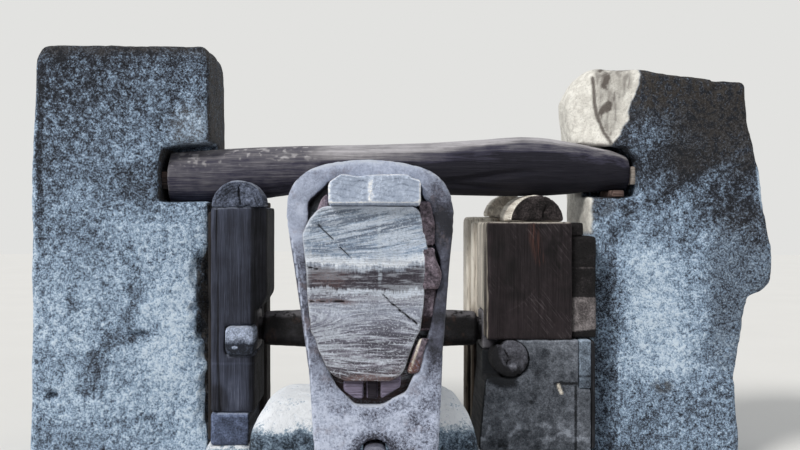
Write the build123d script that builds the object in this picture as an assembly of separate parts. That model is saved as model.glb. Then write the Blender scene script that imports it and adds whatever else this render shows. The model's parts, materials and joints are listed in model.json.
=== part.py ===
# Water-mill trip hammer: an iron hammer head wedged on a heavy timber helve, which rocks on
# two iron trunnions between bearing stacks of timber, held by two granite pillars and a
# crossbeam. Millimetres, +Z up, ground at Z = 0. The drawing below uses X = 0 on the helve's
# centre line and Y = 0 on the front plane of the pillars, with -Y towards the hammer head.
from build123d import *
import math
import os

os.makedirs("parts", exist_ok=True)

# Clearances
seat_gap = 0.3
running_gap = 0.08
shoulder_gap = 24.0

# Pillars
pillar_depth = 500.0
left_pillar_gap = 38.0
left_pillar_width = 880.0
left_pillar_height = 2115.0
right_pillar_gap = 40.0
right_pillar_width = 888.0
right_pillar_height = 2005.0
right_top_fall = 85.0
pillar_corner = 22.0

# Crossbeam and its notches
beam_axis_y = 165.0
beam_thickness_y = 270.0
beam_girth = 270.0
beam_left_bite = 214.0
beam_right_bite = 210.0
left_notch_floor_z = 1330.0
right_notch_floor_z = 1356.0
notch_headroom = 300.0
notch_depth_y = 308.0
left_notch_end_gap = 34.0
right_notch_end_gap = 30.0
right_beam_packer_height = 34.0

# Trunnion axis, and the faces that the trunnions run between
trunnion_y = 80.0
trunnion_z = 690.0
bearing_span = 1120.0
journal_radius = 58.0
journal_length = 138.0
arm_root_size = 196.0
arm_end_size = 168.0
bearing_size = 190.0
bearing_depth = 156.0

# Helve
helve_proud = 6.0
helve_tail_length = 1250.0
helve_head_width = 322.0
helve_head_height = 454.0
helve_ring_width = 322.0
helve_ring_height = 400.0
helve_tail_width = 240.0
helve_tail_height = 280.0
helve_angle = 9.45
helve_set_over = -14.0
helve_lift_angle = 9.0

# Trunnion ring round the helve
ring_length = 190.0
ring_wall = 62.0
ring_side_wedge = 14.0
ring_top_wedge = 20.0

# Hammer head
head_front_y = -2090.0
head_depth = 280.0
head_top_z = 1404.0
head_bottom_z = 492.0
head_top_half_width = 224.0
head_bottom_half_width = 160.0
head_skew = 19.0
head_shoulder = 108.0
head_left_knee = 338.0
head_right_knee = 394.0
eye_left_gap = 6.0
eye_right_gap = 45.0
eye_top_gap = 88.0
eye_bottom_gap = 70.0
cotter_width = 52.0
cotter_height = 92.0
cotter_slot_width = 88.0
cotter_slot_height = 118.0
cotter_x = 12.0
cotter_top_z = 656.0
die_tang_width = 150.0
die_tang_depth = 130.0
die_width = 252.0
die_depth = 250.0

# Anvil
anvil_face_z = 400.0
anvil_die_height = 86.0
anvil_width = 330.0
anvil_depth = 380.0
anvil_sink = 104.0
anvil_stone_height = 190.0
anvil_stone_width = 1010.0
anvil_stone_front_y = -2430.0
anvil_wedge_gap = 34.0

# Back stone between the anvil and the bearing stacks
back_stone_width = 900.0
back_stone_depth = 510.0
back_stone_height = 548.0
back_stone_x = -24.0
back_stone_front_y = -1050.0

# Left bearing stack
stack_front_y = -150.0
left_post_width = 212.0
left_post_head_width = 266.0
left_post_depth = 430.0
left_post_top_z = 1303.0
left_shoulder_z = 835.0
left_base_stone_height = 150.0
left_base_block_height = 157.0
left_cap_radius = 130.0
left_key_width = 140.0
left_key_height = 140.0
left_key_drop = 8.0
key_proud = 18.0

# Right bearing stack
right_base_stone_height = 122.0
right_lower_block_height = 538.0
right_block_width = 416.0
right_lower_block_width = 512.0
right_block_depth = 400.0
right_upper_block_height = 571.0
right_packer_clearance = 8.0
packer_shares = ((0.33, 30), (0.277, 40), (0.273, 34))
right_bolster_radius = 134.0
right_bolster_length = 385.0
right_rear_bolster_radius = 122.0
right_key_radius = 90.0
right_key_x = 677.0

# Rear posts behind the bearing stacks
rear_post_step = 22.0
left_board_thickness = 30.0
right_board_thickness = 30.0
right_inset_width = 60.0
right_inset_height = 236.0
right_inset_depth = 120.0
right_plank_thickness = 92.0
right_rear_post_depth = 150.0

# Iron bands and the tail shoe
band_thickness = 14.0
band_width = 64.0
neck_band_setback = 76.0
shoe_length = 230.0
shoe_thickness = 34.0

half_span = bearing_span / 2
left_pillar_inner_x = -half_span - left_post_width - left_pillar_gap
right_pillar_inner_x = half_span + right_lower_block_width + right_pillar_gap
beam_left_x = left_pillar_inner_x - beam_left_bite
beam_right_x = right_pillar_inner_x + beam_right_bite
tilt = math.radians(helve_angle)
helve_frame = Plane(
    origin=(0, trunnion_y, trunnion_z),
    x_dir=(1, 0, 0),
    z_dir=(0, -math.cos(tilt), math.sin(tilt)),
)
helve_front_reach = (trunnion_y - head_front_y + helve_proud) / math.cos(tilt)
head_back_reach = (trunnion_y - head_front_y - head_depth) / math.cos(tilt)
cut_over = 200.0


def block(x0, x1, y0, y1, z0, z1):
    """A box between two corners."""
    return Pos((x0 + x1) / 2, (y0 + y1) / 2, (z0 + z1) / 2) * Box(x1 - x0, y1 - y0, z1 - z0)


def eased(x0, x1, y0, y1, z0, z1, ease):
    """A sawn timber: a box with its long edges eased."""
    solid = block(x0, x1, y0, y1, z0, z1)
    return chamfer(solid.edges(), ease)


def hewn_stone(rows, corner):
    """A stone dressed by hand: plan outlines at rising heights, joined by flat dressed facets."""
    plans = []
    for height, outline in rows:
        plan = Polygon(*outline, align=None)
        plans.append(Plane.XY.offset(height) * fillet(plan.vertices(), corner))
    return loft(plans, ruled=True)


def half_log(x, z, radius, y0, y1):
    """Half a round log lying along Y, flat side down at height z."""
    log = Pos(x, (y0 + y1) / 2, z) * Rot(90, 0, 0) * Cylinder(radius, y1 - y0)
    return log - block(x - 2 * radius, x + 2 * radius, y0 - 1, y1 + 1, z - 2 * radius, z)


def round_bar_y(x, z, radius, y0, y1):
    """A round bar along Y."""
    return Pos(x, (y0 + y1) / 2, z) * Rot(90, 0, 0) * Cylinder(radius, y1 - y0)


def round_bar_x(y, z, radius, x0, x1):
    """A round bar along X."""
    return Pos((x0 + x1) / 2, y, z) * Rot(0, 90, 0) * Cylinder(radius, x1 - x0)


# Granite pillars
def left_pillar():
    inner = left_pillar_inner_x
    outer = inner - left_pillar_width
    high = left_pillar_height
    rows = []
    for height, lean_out, lean_in, round_front in (
        (0, 12, 2, 0),
        (700, 4, 6, 4),
        (1500, 2, 4, 0),
        (high - 60, -16, -2, 6),
        (high, -42, -26, 34),
    ):
        rows.append(
            (
                height,
                [
                    (outer - lean_out, round_front),
                    (inner + lean_in, round_front),
                    (inner + lean_in, pillar_depth),
                    (outer - lean_out + 8, pillar_depth - 14),
                ],
            )
        )
    stone = hewn_stone(rows, pillar_corner)
    return stone - left_notch()


def left_notch():
    """The open mortise for the crossbeam, with its upper inner corner rounded by wear."""
    end = beam_left_x - left_notch_end_gap
    outline = Polygon(
        (end, left_notch_floor_z),
        (left_pillar_inner_x + 200, left_notch_floor_z),
        (left_pillar_inner_x + 200, left_notch_floor_z + notch_headroom + 8),
        (end + 120, left_notch_floor_z + notch_headroom),
        (end + 18, left_notch_floor_z + notch_headroom - 22),
        (end, left_notch_floor_z + notch_headroom - 110),
        align=None,
    )
    cutter = extrude(Plane.XZ * outline, amount=notch_depth_y / 2, both=True)
    return Pos(0, notch_depth_y / 2 - 20, 0) * cutter + Pos(0, notch_depth_y / 2, 0) * cutter


def right_pillar():
    inner = right_pillar_inner_x
    outer = inner + right_pillar_width
    high = right_pillar_height
    rows = []
    # height, inner shift, depth of the inner front chamfer, run of that chamfer, outer shift
    for height, inner_shift, chamfer_y, chamfer_x, outer_shift in (
        (0, 0, 84, 140, -140),
        (440, 0, 80, 134, -180),
        (860, 0, 72, 132, -112),
        (905, 0, 70, 130, -16),
        (1100, 0, 70, 124, 0),
        (1310, -2, 74, 130, -38),
        (1500, -14, 130, 190, -62),
        (1700, -44, 290, 300, -106),
        (high - 140, -60, 350, 345, -124),
        (high - 45, -6, 352, 300, -130),
        (high, 84, 330, 230, -150),
    ):
        rows.append(
            (
                height,
                [
                    (inner + inner_shift, chamfer_y),
                    (inner + inner_shift + chamfer_x, 0),
                    (outer + outer_shift, 6),
                    (outer + outer_shift - 26, pillar_depth - 30),
                    (inner + inner_shift - 16, pillar_depth),
                ],
            )
        )
    stone = hewn_stone(rows, pillar_corner)
    crown = Plane(
        origin=(inner + 230, 0, high + 2),
        z_dir=(right_top_fall, 0, right_pillar_width - 230),
    )
    stone = split(stone, bisect_by=crown, keep=Keep.BOTTOM)
    return stone - right_notch()


def right_notch():
    """The open mortise in the right pillar's inner front corner."""
    end = beam_right_x + right_notch_end_gap
    floor = right_notch_floor_z
    outline = Polygon(
        (end, floor),
        (end, floor + notch_headroom - 110),
        (end - 60, floor + notch_headroom - 40),
        (right_pillar_inner_x - 200, floor + notch_headroom),
        (right_pillar_inner_x - 200, floor),
        align=None,
    )
    cutter = extrude(Plane.XZ * outline, amount=notch_depth_y / 2, both=True)
    return Pos(0, notch_depth_y / 2 - 20, 0) * cutter + Pos(0, notch_depth_y / 2, 0) * cutter


# Crossbeam
def crossbeam():
    """A crooked log, flattened where it sits in the notches and over the bearing stacks."""
    length = beam_right_x - beam_left_x
    left_seat = left_notch_floor_z
    right_seat = right_notch_floor_z + right_beam_packer_height
    sections = []
    # share of the length, then rise of the log's axis over its left seat and height, in girths
    for share, rise, high in (
        (0.0, 0.467, 0.993),
        (0.15, 0.511, 1.067),
        (0.28, 0.637, 0.911),
        (0.45, 0.644, 0.926),
        (0.62, 0.656, 1.030),
        (0.77, 0.680, 1.130),
        (0.88, 0.637, 0.970),
        (0.96, 0.607, 0.822),
        (1.0, 0.556, 0.652),
    ):
        centre = Plane(
            origin=(beam_left_x + share * length, beam_axis_y, left_seat + rise * beam_girth),
            x_dir=(0, 1, 0),
            z_dir=(1, 0, 0),
        )
        taper = 1 - 0.18 * max(0, share - 0.88) / 0.12
        sections.append(centre * Ellipse(beam_thickness_y / 2 * taper, high * beam_girth / 2))
    log = loft(sections, ruled=True)
    log -= block(beam_left_x - 50, left_pillar_inner_x + 60, -400, 800, left_seat - 300, left_seat)
    log -= block(right_pillar_inner_x - 20, beam_right_x + 50, -400, 800, right_seat - 300, right_seat)
    log -= block(
        -half_span - left_post_width - 60,
        -half_span + 90,
        -400,
        800,
        left_seat - 300,
        left_seat,
    )
    saddle_z = right_stack_top()
    saddle_x = right_bolster_x()
    log -= round_bar_y(saddle_x, saddle_z, right_bolster_radius + seat_gap, -400, 800)
    return log


def beam_wedge_left():
    """Packing driven between the log's left end and the end of its notch."""
    high = left_notch_floor_z + 160
    return block(
        beam_left_x - left_notch_end_gap,
        beam_left_x,
        beam_axis_y - 110,
        beam_axis_y + 60,
        left_notch_floor_z + 68,
        high,
    )


def beam_wedge_right():
    low = right_notch_floor_z + right_beam_packer_height
    return block(
        beam_right_x,
        beam_right_x + right_notch_end_gap,
        beam_axis_y - 90,
        beam_axis_y + 60,
        low + 30,
        low + 122,
    )


def beam_packer_right():
    return block(
        beam_right_x - 104,
        beam_right_x - 44,
        20,
        notch_depth_y - 40,
        right_notch_floor_z,
        right_notch_floor_z + right_beam_packer_height,
    )


# Left bearing stack
def left_post_bottom_z():
    return left_base_stone_height + left_base_block_height


def left_base_stone():
    x1 = -half_span - 20
    x0 = -half_span - left_post_width - 30
    y1 = stack_front_y + left_post_depth
    return eased(x0, x1, stack_front_y - 10, y1, 0, left_base_stone_height, 14)


def left_base_block():
    x1 = -half_span - 24
    x0 = -half_span - left_post_width
    y1 = stack_front_y + left_post_depth - 10
    return eased(x0, x1, stack_front_y - 4, y1, left_base_stone_height, left_post_bottom_z(), 5)


def left_post():
    """The left bearing post: its upper half is wider and overhangs the trunnion."""
    x_in = -half_span
    x_out = -half_span - left_post_width
    x_head = x_out + left_post_head_width
    low = left_post_bottom_z()
    outline = Polygon(
        (x_out, low),
        (x_in, low),
        (x_in, left_shoulder_z - 40),
        (x_in + 26, left_shoulder_z - 16),
        (x_head, left_shoulder_z + 30),
        (x_head, left_post_top_z),
        (x_out, left_post_top_z),
        align=None,
    )
    post = extrude(Plane.XZ * outline, amount=-left_post_depth)
    post = Pos(0, stack_front_y, 0) * post
    wane = 74.0
    corner = Plane(
        origin=(x_head - wane, stack_front_y, left_post_top_z),
        z_dir=(1, -1, 0),
    )
    post = split(post, bisect_by=corner, keep=Keep.BOTTOM)
    post -= bearing_pocket(-1)
    return post - left_key_notch(seat_gap)


def left_key_notch(gap):
    """The notch for the bearing key, open to the front and to the helve's side."""
    x1 = -half_span
    z0 = trunnion_z - bearing_size / 2 - left_key_drop
    return block(
        x1 - left_key_width - gap,
        x1 + 100,
        stack_front_y - 100,
        trunnion_y - bearing_size / 2 - gap,
        z0,
        z0 + left_key_height + gap,
    )


def left_bearing_key():
    """The wooden key that holds the left bearing from the front, its end rounded by blows."""
    x1 = -half_span
    z0 = trunnion_z - bearing_size / 2 - left_key_drop
    y0 = stack_front_y - key_proud
    y1 = trunnion_y - bearing_size / 2 - seat_gap
    key = block(x1 - left_key_width, x1, y0, y1, z0, z0 + left_key_height)
    long_edges = key.edges().filter_by(Axis.Y)
    key = fillet(long_edges, 26)
    return chamfer(key.faces().sort_by(Axis.Y)[0].edges(), 10)


def bearing_pocket(side):
    """The pocket for a bearing block, opening towards the helve. side is -1 left, 1 right."""
    half = bearing_size / 2 + seat_gap
    x_in = side * (half_span - 300)
    x_out = side * (half_span + bearing_depth + seat_gap)
    return block(
        min(x_in, x_out),
        max(x_in, x_out),
        trunnion_y - half,
        trunnion_y + half,
        trunnion_z - half,
        trunnion_z + half,
    )


def bearing_block(side):
    """An iron block with the blind bore that a trunnion's journal runs in."""
    x_in = side * half_span
    x_out = side * (half_span + bearing_depth)
    half = bearing_size / 2
    box = block(
        min(x_in, x_out),
        max(x_in, x_out),
        trunnion_y - half,
        trunnion_y + half,
        trunnion_z - half,
        trunnion_z + half,
    )
    box = chamfer(box.edges().filter_by(Axis.X), 9)
    bore_end = side * (half_span + journal_length - shoulder_gap + 6)
    mouth = side * (half_span - 10)
    return box - round_bar_x(
        trunnion_y,
        trunnion_z,
        journal_radius + running_gap,
        min(mouth, bore_end),
        max(mouth, bore_end),
    )


def left_post_cap():
    """A half log on the post's front shoulder, which stops the crossbeam from creeping out."""
    x = -half_span - left_post_width + left_cap_radius + 4
    y1 = beam_axis_y - beam_thickness_y / 2 - 4
    return half_log(x, left_post_top_z, left_cap_radius, stack_front_y, y1)


def left_post_packer():
    """The thin wedge between the post's top and the crossbeam."""
    x0 = -half_span - left_post_width + 12
    return block(
        x0,
        x0 + 236,
        beam_axis_y - 70,
        beam_axis_y + 90,
        left_post_top_z,
        left_notch_floor_z,
    )


def left_side_board():
    """The filling board between the left post and the pillar."""
    return block(
        -half_span - left_post_width - left_board_thickness,
        -half_span - left_post_width,
        stack_front_y + 96,
        stack_front_y + left_post_depth,
        left_base_stone_height,
        left_post_top_z - 20,
    )


def left_rear_post():
    """The post behind the bearing post."""
    y0 = stack_front_y + left_post_depth
    return eased(
        -half_span - left_post_width,
        -half_span + 12,
        y0,
        pillar_depth - 8,
        0,
        left_post_top_z - 34,
        8,
    )


# Right bearing stack
def right_lower_top():
    return right_base_stone_height + right_lower_block_height


def right_stack_top():
    return right_lower_top() + right_upper_block_height


def right_bolster_x():
    return half_span + right_block_width * 0.64


def right_base_stone():
    return eased(
        half_span - 34,
        half_span + right_lower_block_width + 20,
        stack_front_y - 12,
        stack_front_y + right_block_depth,
        0,
        right_base_stone_height,
        14,
    )


def right_lower_block():
    """The lower bearing block: its foot flares inward, and its top corner holds the round key."""
    x0 = half_span
    x1 = half_span + right_lower_block_width
    low = right_base_stone_height
    high = right_lower_top()
    outline = Polygon(
        (x0 - 34, low),
        (x1, low),
        (x1, high),
        (x0, high),
        (x0, high - 160),
        align=None,
    )
    solid = extrude(Plane.XZ * outline, amount=-right_block_depth)
    solid = Pos(0, stack_front_y, 0) * solid
    solid = chamfer(solid.edges().filter_by(Axis.Y), 6)
    solid -= bearing_pocket(1)
    solid -= right_key_notch()
    return solid - right_inset_pocket()


def right_key_z():
    return right_lower_top() - right_key_radius


def right_key_notch():
    """A round cradle for the key, broken out towards the helve."""
    y1 = trunnion_y - bearing_size / 2 - seat_gap
    y0 = stack_front_y - 100
    z = right_key_z()
    cradle = round_bar_y(right_key_x, z, right_key_radius + seat_gap, y0, y1)
    mouth = block(
        half_span - 100,
        right_key_x,
        y0,
        y1,
        z - right_key_radius - seat_gap,
        z + right_key_radius + 60,
    )
    return cradle + mouth


def right_bearing_key():
    """The round key that holds the right bearing from the front."""
    y0 = stack_front_y - key_proud
    y1 = trunnion_y - bearing_size / 2 - seat_gap
    key = round_bar_y(right_key_x, right_key_z(), right_key_radius, y0, y1)
    return chamfer(key.faces().sort_by(Axis.Y)[0].edges(), 12)


def right_inset_pocket():
    x1 = half_span + right_lower_block_width
    high = right_lower_top()
    return block(
        x1 - right_inset_width - seat_gap,
        x1 + cut_over,
        stack_front_y - cut_over,
        stack_front_y + right_inset_depth,
        high - right_inset_height,
        high + cut_over,
    )


def right_inset_block():
    """A small wedge let into the lower block's outer front corner."""
    x1 = half_span + right_lower_block_width
    high = right_lower_top()
    wedge = block(
        x1 - right_inset_width,
        x1 - 2,
        stack_front_y + 2,
        stack_front_y + right_inset_depth - seat_gap,
        high - right_inset_height,
        high,
    )
    return chamfer(wedge.edges(), 4)


def right_upper_block():
    """The end-grain timber that keeps the right bearing down."""
    x0 = half_span + 4
    solid = block(
        x0,
        x0 + right_block_width,
        stack_front_y,
        stack_front_y + right_block_depth,
        right_lower_top(),
        right_stack_top(),
    )
    solid = chamfer(solid.edges().filter_by(Axis.Y), 5)
    return solid - bearing_pocket(1)


def right_bolster():
    y0 = stack_front_y + 100
    return half_log(
        right_bolster_x(),
        right_stack_top(),
        right_bolster_radius,
        y0,
        y0 + right_bolster_length,
    )


def right_plank_top():
    return right_stack_top()


def right_rear_plank():
    """The plank behind the upper block, standing a little nearer to the helve."""
    y0 = stack_front_y + right_block_depth
    return eased(
        half_span - rear_post_step,
        half_span + right_block_width,
        y0,
        y0 + right_plank_thickness,
        0,
        right_plank_top(),
        4,
    )


def right_rear_post():
    """The post behind the plank."""
    y0 = stack_front_y + right_block_depth + right_plank_thickness
    return eased(
        half_span - 2 * rear_post_step,
        half_span + right_block_width - 40,
        y0,
        y0 + right_rear_post_depth,
        0,
        right_plank_top() + 24,
        7,
    )


def right_rear_bolster():
    y0 = stack_front_y + right_block_depth + right_plank_thickness
    x = half_span - 2 * rear_post_step + right_rear_bolster_radius + 110
    return half_log(
        x,
        right_plank_top() + 24,
        right_rear_bolster_radius,
        y0 + 4,
        y0 + right_rear_post_depth - 6,
    )


def right_packers():
    """Three packing blocks stacked between the upper block and the pillar."""
    x0 = half_span + 4 + right_block_width
    x1 = right_pillar_inner_x - right_packer_clearance
    z = right_lower_top()
    found = []
    for share, inset in packer_shares:
        high = share * right_upper_block_height
        packer = block(x0, x1, stack_front_y + inset, stack_front_y + 350, z, z + high)
        found.append(chamfer(packer.edges(), 5))
        z += high
    return found


def right_top_packer():
    """The small stepped block above the packers."""
    x0 = half_span + 4 + right_block_width
    z = right_lower_top() + sum(share for share, inset in packer_shares) * right_upper_block_height
    return block(x0, x0 + 64, stack_front_y + 44, stack_front_y + 330, z, right_stack_top() - 4)


def right_side_board():
    """The board between the lower block and the pillar."""
    return block(
        half_span + right_lower_block_width,
        half_span + right_lower_block_width + right_board_thickness,
        stack_front_y + 40,
        stack_front_y + right_block_depth,
        right_base_stone_height,
        right_lower_top() - 6,
    )


# Helve
def helve_outline(width, height, square, grow=0.0):
    """The helve's cross section: egg-shaped where square is 0, nearly rectangular at 1."""

    def mix(egg, sawn):
        return egg + (sawn - egg) * square

    w = width + 2 * grow
    h = height + 2 * grow
    shape = Polygon(
        (-mix(0.31, 0.40) * w, 0.5 * h),
        (mix(0.43, 0.40) * w, 0.5 * h),
        (0.5 * w, mix(0.24, 0.36) * h),
        (mix(0.43, 0.5) * w, -mix(0.22, 0.36) * h),
        (mix(0.28, 0.40) * w, -0.5 * h),
        (-mix(0.22, 0.40) * w, -0.5 * h),
        (-mix(0.41, 0.5) * w, -mix(0.24, 0.36) * h),
        (-0.5 * w, mix(0.34, 0.36) * h),
        align=None,
    )
    shape = Pos(helve_set_over * (1 - square), 0) * shape
    return fillet(shape.vertices(), 24 + grow)


def helve():
    ring_half = ring_length / 2 + 60
    stations = (
        (-helve_tail_length, helve_tail_width, helve_tail_height, 1),
        (-helve_tail_length + 480, helve_tail_width, helve_tail_height, 1),
        (-ring_half, helve_ring_width, helve_ring_height, 1),
        (ring_half, helve_ring_width, helve_ring_height, 1),
        (900, helve_ring_width + 22, helve_ring_height + 44, 0.6),
        (head_back_reach - neck_band_setback - band_width - 20, helve_head_width, helve_head_height, 0),
        (helve_front_reach + cut_over, helve_head_width, helve_head_height, 0),
    )
    sections = [
        helve_frame.offset(along) * helve_outline(width, height, square)
        for along, width, height, square in stations
    ]
    timber = loft(sections, ruled=True)
    front = head_front_y - helve_proud
    wide = helve_head_width + 2 * cut_over
    return timber - block(-wide, wide, front - 2 * cut_over, front, 0, head_top_z + cut_over)


# Hammer head
def head_outline():
    """The head from the front: a flat arch over straight cheeks that taper to the die."""
    top = head_top_z
    wide = head_top_half_width
    low = head_bottom_half_width
    drop = head_shoulder
    shape = Polygon(
        (-low + head_skew, head_bottom_z),
        (low + head_skew, head_bottom_z),
        (low + head_skew + 16, head_bottom_z + head_right_knee),
        (wide, top - 1.3 * drop),
        (wide, top - 0.95 * drop),
        (0.93 * wide, top - 0.52 * drop),
        (0.70 * wide, top - 0.17 * drop),
        (0.0, top + 0.02 * drop),
        (-0.66 * wide, top - 0.12 * drop),
        (-0.92 * wide, top - 0.48 * drop),
        (-wide, top - 0.95 * drop),
        (-low + head_skew - 22, head_bottom_z + head_left_knee),
        align=None,
    )
    arch = shape.vertices().filter_by(lambda v: v.Y > head_bottom_z + 1)
    return Plane.XZ.offset(-head_front_y) * fillet(arch, 56)


def eye_outline(shrink=0.0):
    """The eye through the head, drawn square to the helve."""
    left = helve_head_width / 2 + eye_left_gap - shrink
    right = helve_head_width / 2 + eye_right_gap - shrink
    top = helve_head_height / 2 + eye_top_gap - shrink
    low = helve_head_height / 2 + eye_bottom_gap - shrink
    high = helve_head_height
    shape = Polygon(
        (-0.58 * left, top),
        (0.72 * right, top),
        (0.90 * right, top - 0.6 * eye_top_gap),
        (1.01 * right, top - 1.3 * eye_top_gap),
        (right, 0.11 * high),
        (0.874 * right, -0.21 * high),
        (0.75 * right, -0.42 * high),
        (0.55 * right, -low + 0.5 * eye_bottom_gap),
        (0.21 * right, -low),
        (-0.16 * left, -low),
        (-0.46 * left, -low + 0.7 * eye_bottom_gap),
        (-0.64 * left, -0.41 * high),
        (-0.83 * left, -0.222 * high),
        (-0.94 * left, 0.12 * high),
        (-left, 0.372 * high),
        (-0.885 * left, top - 0.8 * eye_top_gap),
        align=None,
    )
    return Pos(helve_set_over, 0) * fillet(shape.vertices(), 24 - shrink)


def eye_cutter(shrink=0.0):
    start = helve_frame.offset(head_back_reach - cut_over)
    run = head_depth + 3 * cut_over
    return extrude(start * eye_outline(shrink), amount=run, dir=start.z_dir)


def hammer_head():
    head = extrude(head_outline(), amount=head_depth, dir=(0, 1, 0))
    front_edges = head.edges().filter_by(lambda e: abs(e.center().Y - head_front_y) < 1)
    head = chamfer(front_edges, 7)
    head -= eye_cutter()
    head -= die_socket(seat_gap)
    return head - cotter_slot()


def cotter_slot():
    """The round-topped slot for the cotter, through the head from front to back."""
    z1 = cotter_top_z
    z0 = cotter_top_z - cotter_slot_height
    half = cotter_slot_width / 2
    y0 = head_front_y - 50
    y1 = head_front_y + head_depth + 50
    arch = round_bar_y(cotter_x, z1 - half, half, y0, y1)
    return arch + block(cotter_x - half, cotter_x + half, y0, y1, z0, z1 - half)


def die_cotter():
    """The iron cotter that draws the die up into its socket."""
    z0 = cotter_top_z - cotter_slot_height
    y0 = head_front_y - 26
    y1 = head_front_y + head_depth + 34
    half = cotter_width / 2
    bar = block(cotter_x - half, cotter_x + half, y0, y1, z0, z0 + cotter_height)
    top_edges = bar.edges().filter_by(Axis.Y).sort_by(Axis.Z)[2:]
    return fillet(top_edges, 20)


def die_socket(gap):
    mid_y = head_front_y + head_depth / 2
    half_w = die_tang_width / 2 + gap
    half_d = die_tang_depth / 2 + gap
    top = cotter_top_z + 40
    return block(
        head_skew - half_w,
        head_skew + half_w,
        mid_y - half_d,
        mid_y + half_d,
        head_bottom_z - 10,
        top + gap,
    )


def hammer_die():
    """The striking block: a chamfered block under the head with a square tang in its socket."""
    mid_y = head_front_y + head_depth / 2
    half_w = die_width / 2
    half_d = die_depth / 2
    low = anvil_face_z + seat_gap
    face = block(
        head_skew - half_w,
        head_skew + half_w,
        mid_y - half_d,
        mid_y + half_d,
        low,
        head_bottom_z,
    )
    face = chamfer(face.faces().sort_by(Axis.Z)[0].edges(), 12)
    tang = block(
        head_skew - die_tang_width / 2,
        head_skew + die_tang_width / 2,
        mid_y - die_tang_depth / 2,
        mid_y + die_tang_depth / 2,
        head_bottom_z - 1,
        cotter_top_z + 40,
    )
    return face + tang - cotter_slot()


def eye_gap(x0, x1, v0, v1, front_proud, rear_cut):
    """A wedge that fills part of the gap between the eye and the helve, cut to a window given
    square to the helve."""
    window = Pos(helve_set_over + (x0 + x1) / 2, (v0 + v1) / 2) * Rectangle(x1 - x0, v1 - v0)
    taken = helve_outline(helve_head_width, helve_head_height, 0, grow=seat_gap)
    shape = (eye_outline(seat_gap) - taken) & window
    start = helve_frame.offset(head_back_reach - cut_over)
    run = extrude(start * shape, amount=head_depth + 3 * cut_over, dir=start.z_dir)
    y0 = head_front_y - front_proud
    y1 = head_front_y + head_depth - rear_cut
    wide = head_top_half_width + cut_over
    return run & block(-wide, wide, y0, y1, 0, head_top_z + cut_over)


def head_top_wedge():
    half = helve_head_height / 2
    return eye_gap(-0.30 * helve_head_width, 0.463 * helve_head_width, half, half + cut_over, 46, -20)


def head_side_wedges():
    """Chips driven down the right cheek and in the upper left corner."""
    w = helve_head_width / 2
    h = helve_head_height / 2
    return [
        eye_gap(0.945 * w, w + cut_over, 0.66 * h, 1.12 * h, 10, 20),
        eye_gap(0.80 * w, w + cut_over, 0.02 * h, 0.62 * h, 16, 10),
        eye_gap(0.70 * w, w + cut_over, -0.38 * h, -0.04 * h, -12, 30),
        eye_gap(0.66 * w, w + cut_over, -0.84 * h, -0.44 * h, 6, 40),
        eye_gap(-w - cut_over, -0.84 * w, 0.86 * h, 1.14 * h, 0, 30),
    ]


def head_bottom_shims():
    """Iron and wood shims under the helve."""
    w = helve_head_width / 2
    h = helve_head_height / 2
    return [
        eye_gap(-0.36 * w, -0.02 * w, -h - cut_over, -h, -2, 12),
        eye_gap(0.02 * w, 0.22 * w, -h - cut_over, -h, -10, 12),
        eye_gap(0.26 * w, 0.60 * w, -h - cut_over, -0.88 * h, 0, 12),
    ]


# Trunnion ring
def trunnion_ring():
    """One forging: a heavy collar with two tapering arms that end in round journals."""
    in_w = helve_ring_width + 2 * ring_side_wedge
    in_h = helve_ring_height + 2 * ring_top_wedge
    outer = RectangleRounded(in_w + 2 * ring_wall, in_h + 2 * ring_wall, 70)
    inner = RectangleRounded(in_w, in_h, 18)
    start = helve_frame.offset(-ring_length / 2)
    collar = extrude(start * outer, amount=ring_length)
    root_x = in_w / 2 + ring_wall - 30
    shoulder_x = half_span - shoulder_gap
    for side in (-1, 1):
        sections = []
        for x, size in ((root_x, arm_root_size), (shoulder_x, arm_end_size)):
            frame = Plane(
                origin=(side * x, trunnion_y, trunnion_z),
                x_dir=(0, math.cos(tilt), -math.sin(tilt)),
                z_dir=(side, 0, 0),
            )
            square = Rectangle(size, size)
            sections.append(frame * chamfer(square.vertices(), size * 0.16))
        collar += loft(sections, ruled=True)
        x0 = side * (shoulder_x - 5)
        x1 = side * (shoulder_x + journal_length)
        collar += round_bar_x(trunnion_y, trunnion_z, journal_radius, min(x0, x1), max(x0, x1))
    return collar - extrude(helve_frame.offset(-ring_length) * inner, amount=2 * ring_length)


def ring_wedges():
    """Iron wedges that lock the ring to the helve, above, below and at both cheeks."""
    in_w = helve_ring_width + 2 * ring_side_wedge
    in_h = helve_ring_height + 2 * ring_top_wedge
    room = RectangleRounded(in_w - 2 * seat_gap, in_h - 2 * seat_gap, 17)
    taken = helve_outline(helve_ring_width, helve_ring_height, 1, grow=seat_gap)
    gap = room - taken
    length = ring_length + 44
    windows = (
        Pos(0, in_h / 2) * Rectangle(in_w * 0.62, 100),
        Pos(0, -in_h / 2) * Rectangle(in_w * 0.62, 100),
        Pos(-in_w / 2, 0) * Rectangle(60, in_h * 0.5),
        Pos(in_w / 2, 0) * Rectangle(60, in_h * 0.5),
    )
    start = helve_frame.offset(-length / 2)
    return [
        extrude(start * (gap & window), amount=length, dir=start.z_dir) for window in windows
    ]


# Iron bands and the tail shoe
def helve_band(along, width, height, square):
    """An iron hoop shrunk on the helve."""
    outer = helve_outline(width, height, square, grow=band_thickness)
    inner = helve_outline(width, height, square, grow=seat_gap)
    start = helve_frame.offset(along)
    return extrude(start * (outer - inner), amount=band_width, dir=start.z_dir)


def tail_end_band():
    return helve_band(-helve_tail_length + 8, helve_tail_width, helve_tail_height, 1)


def tail_inner_band():
    along = -helve_tail_length + 8 + band_width + shoe_length + 8
    return helve_band(along, helve_tail_width, helve_tail_height, 1)


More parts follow.
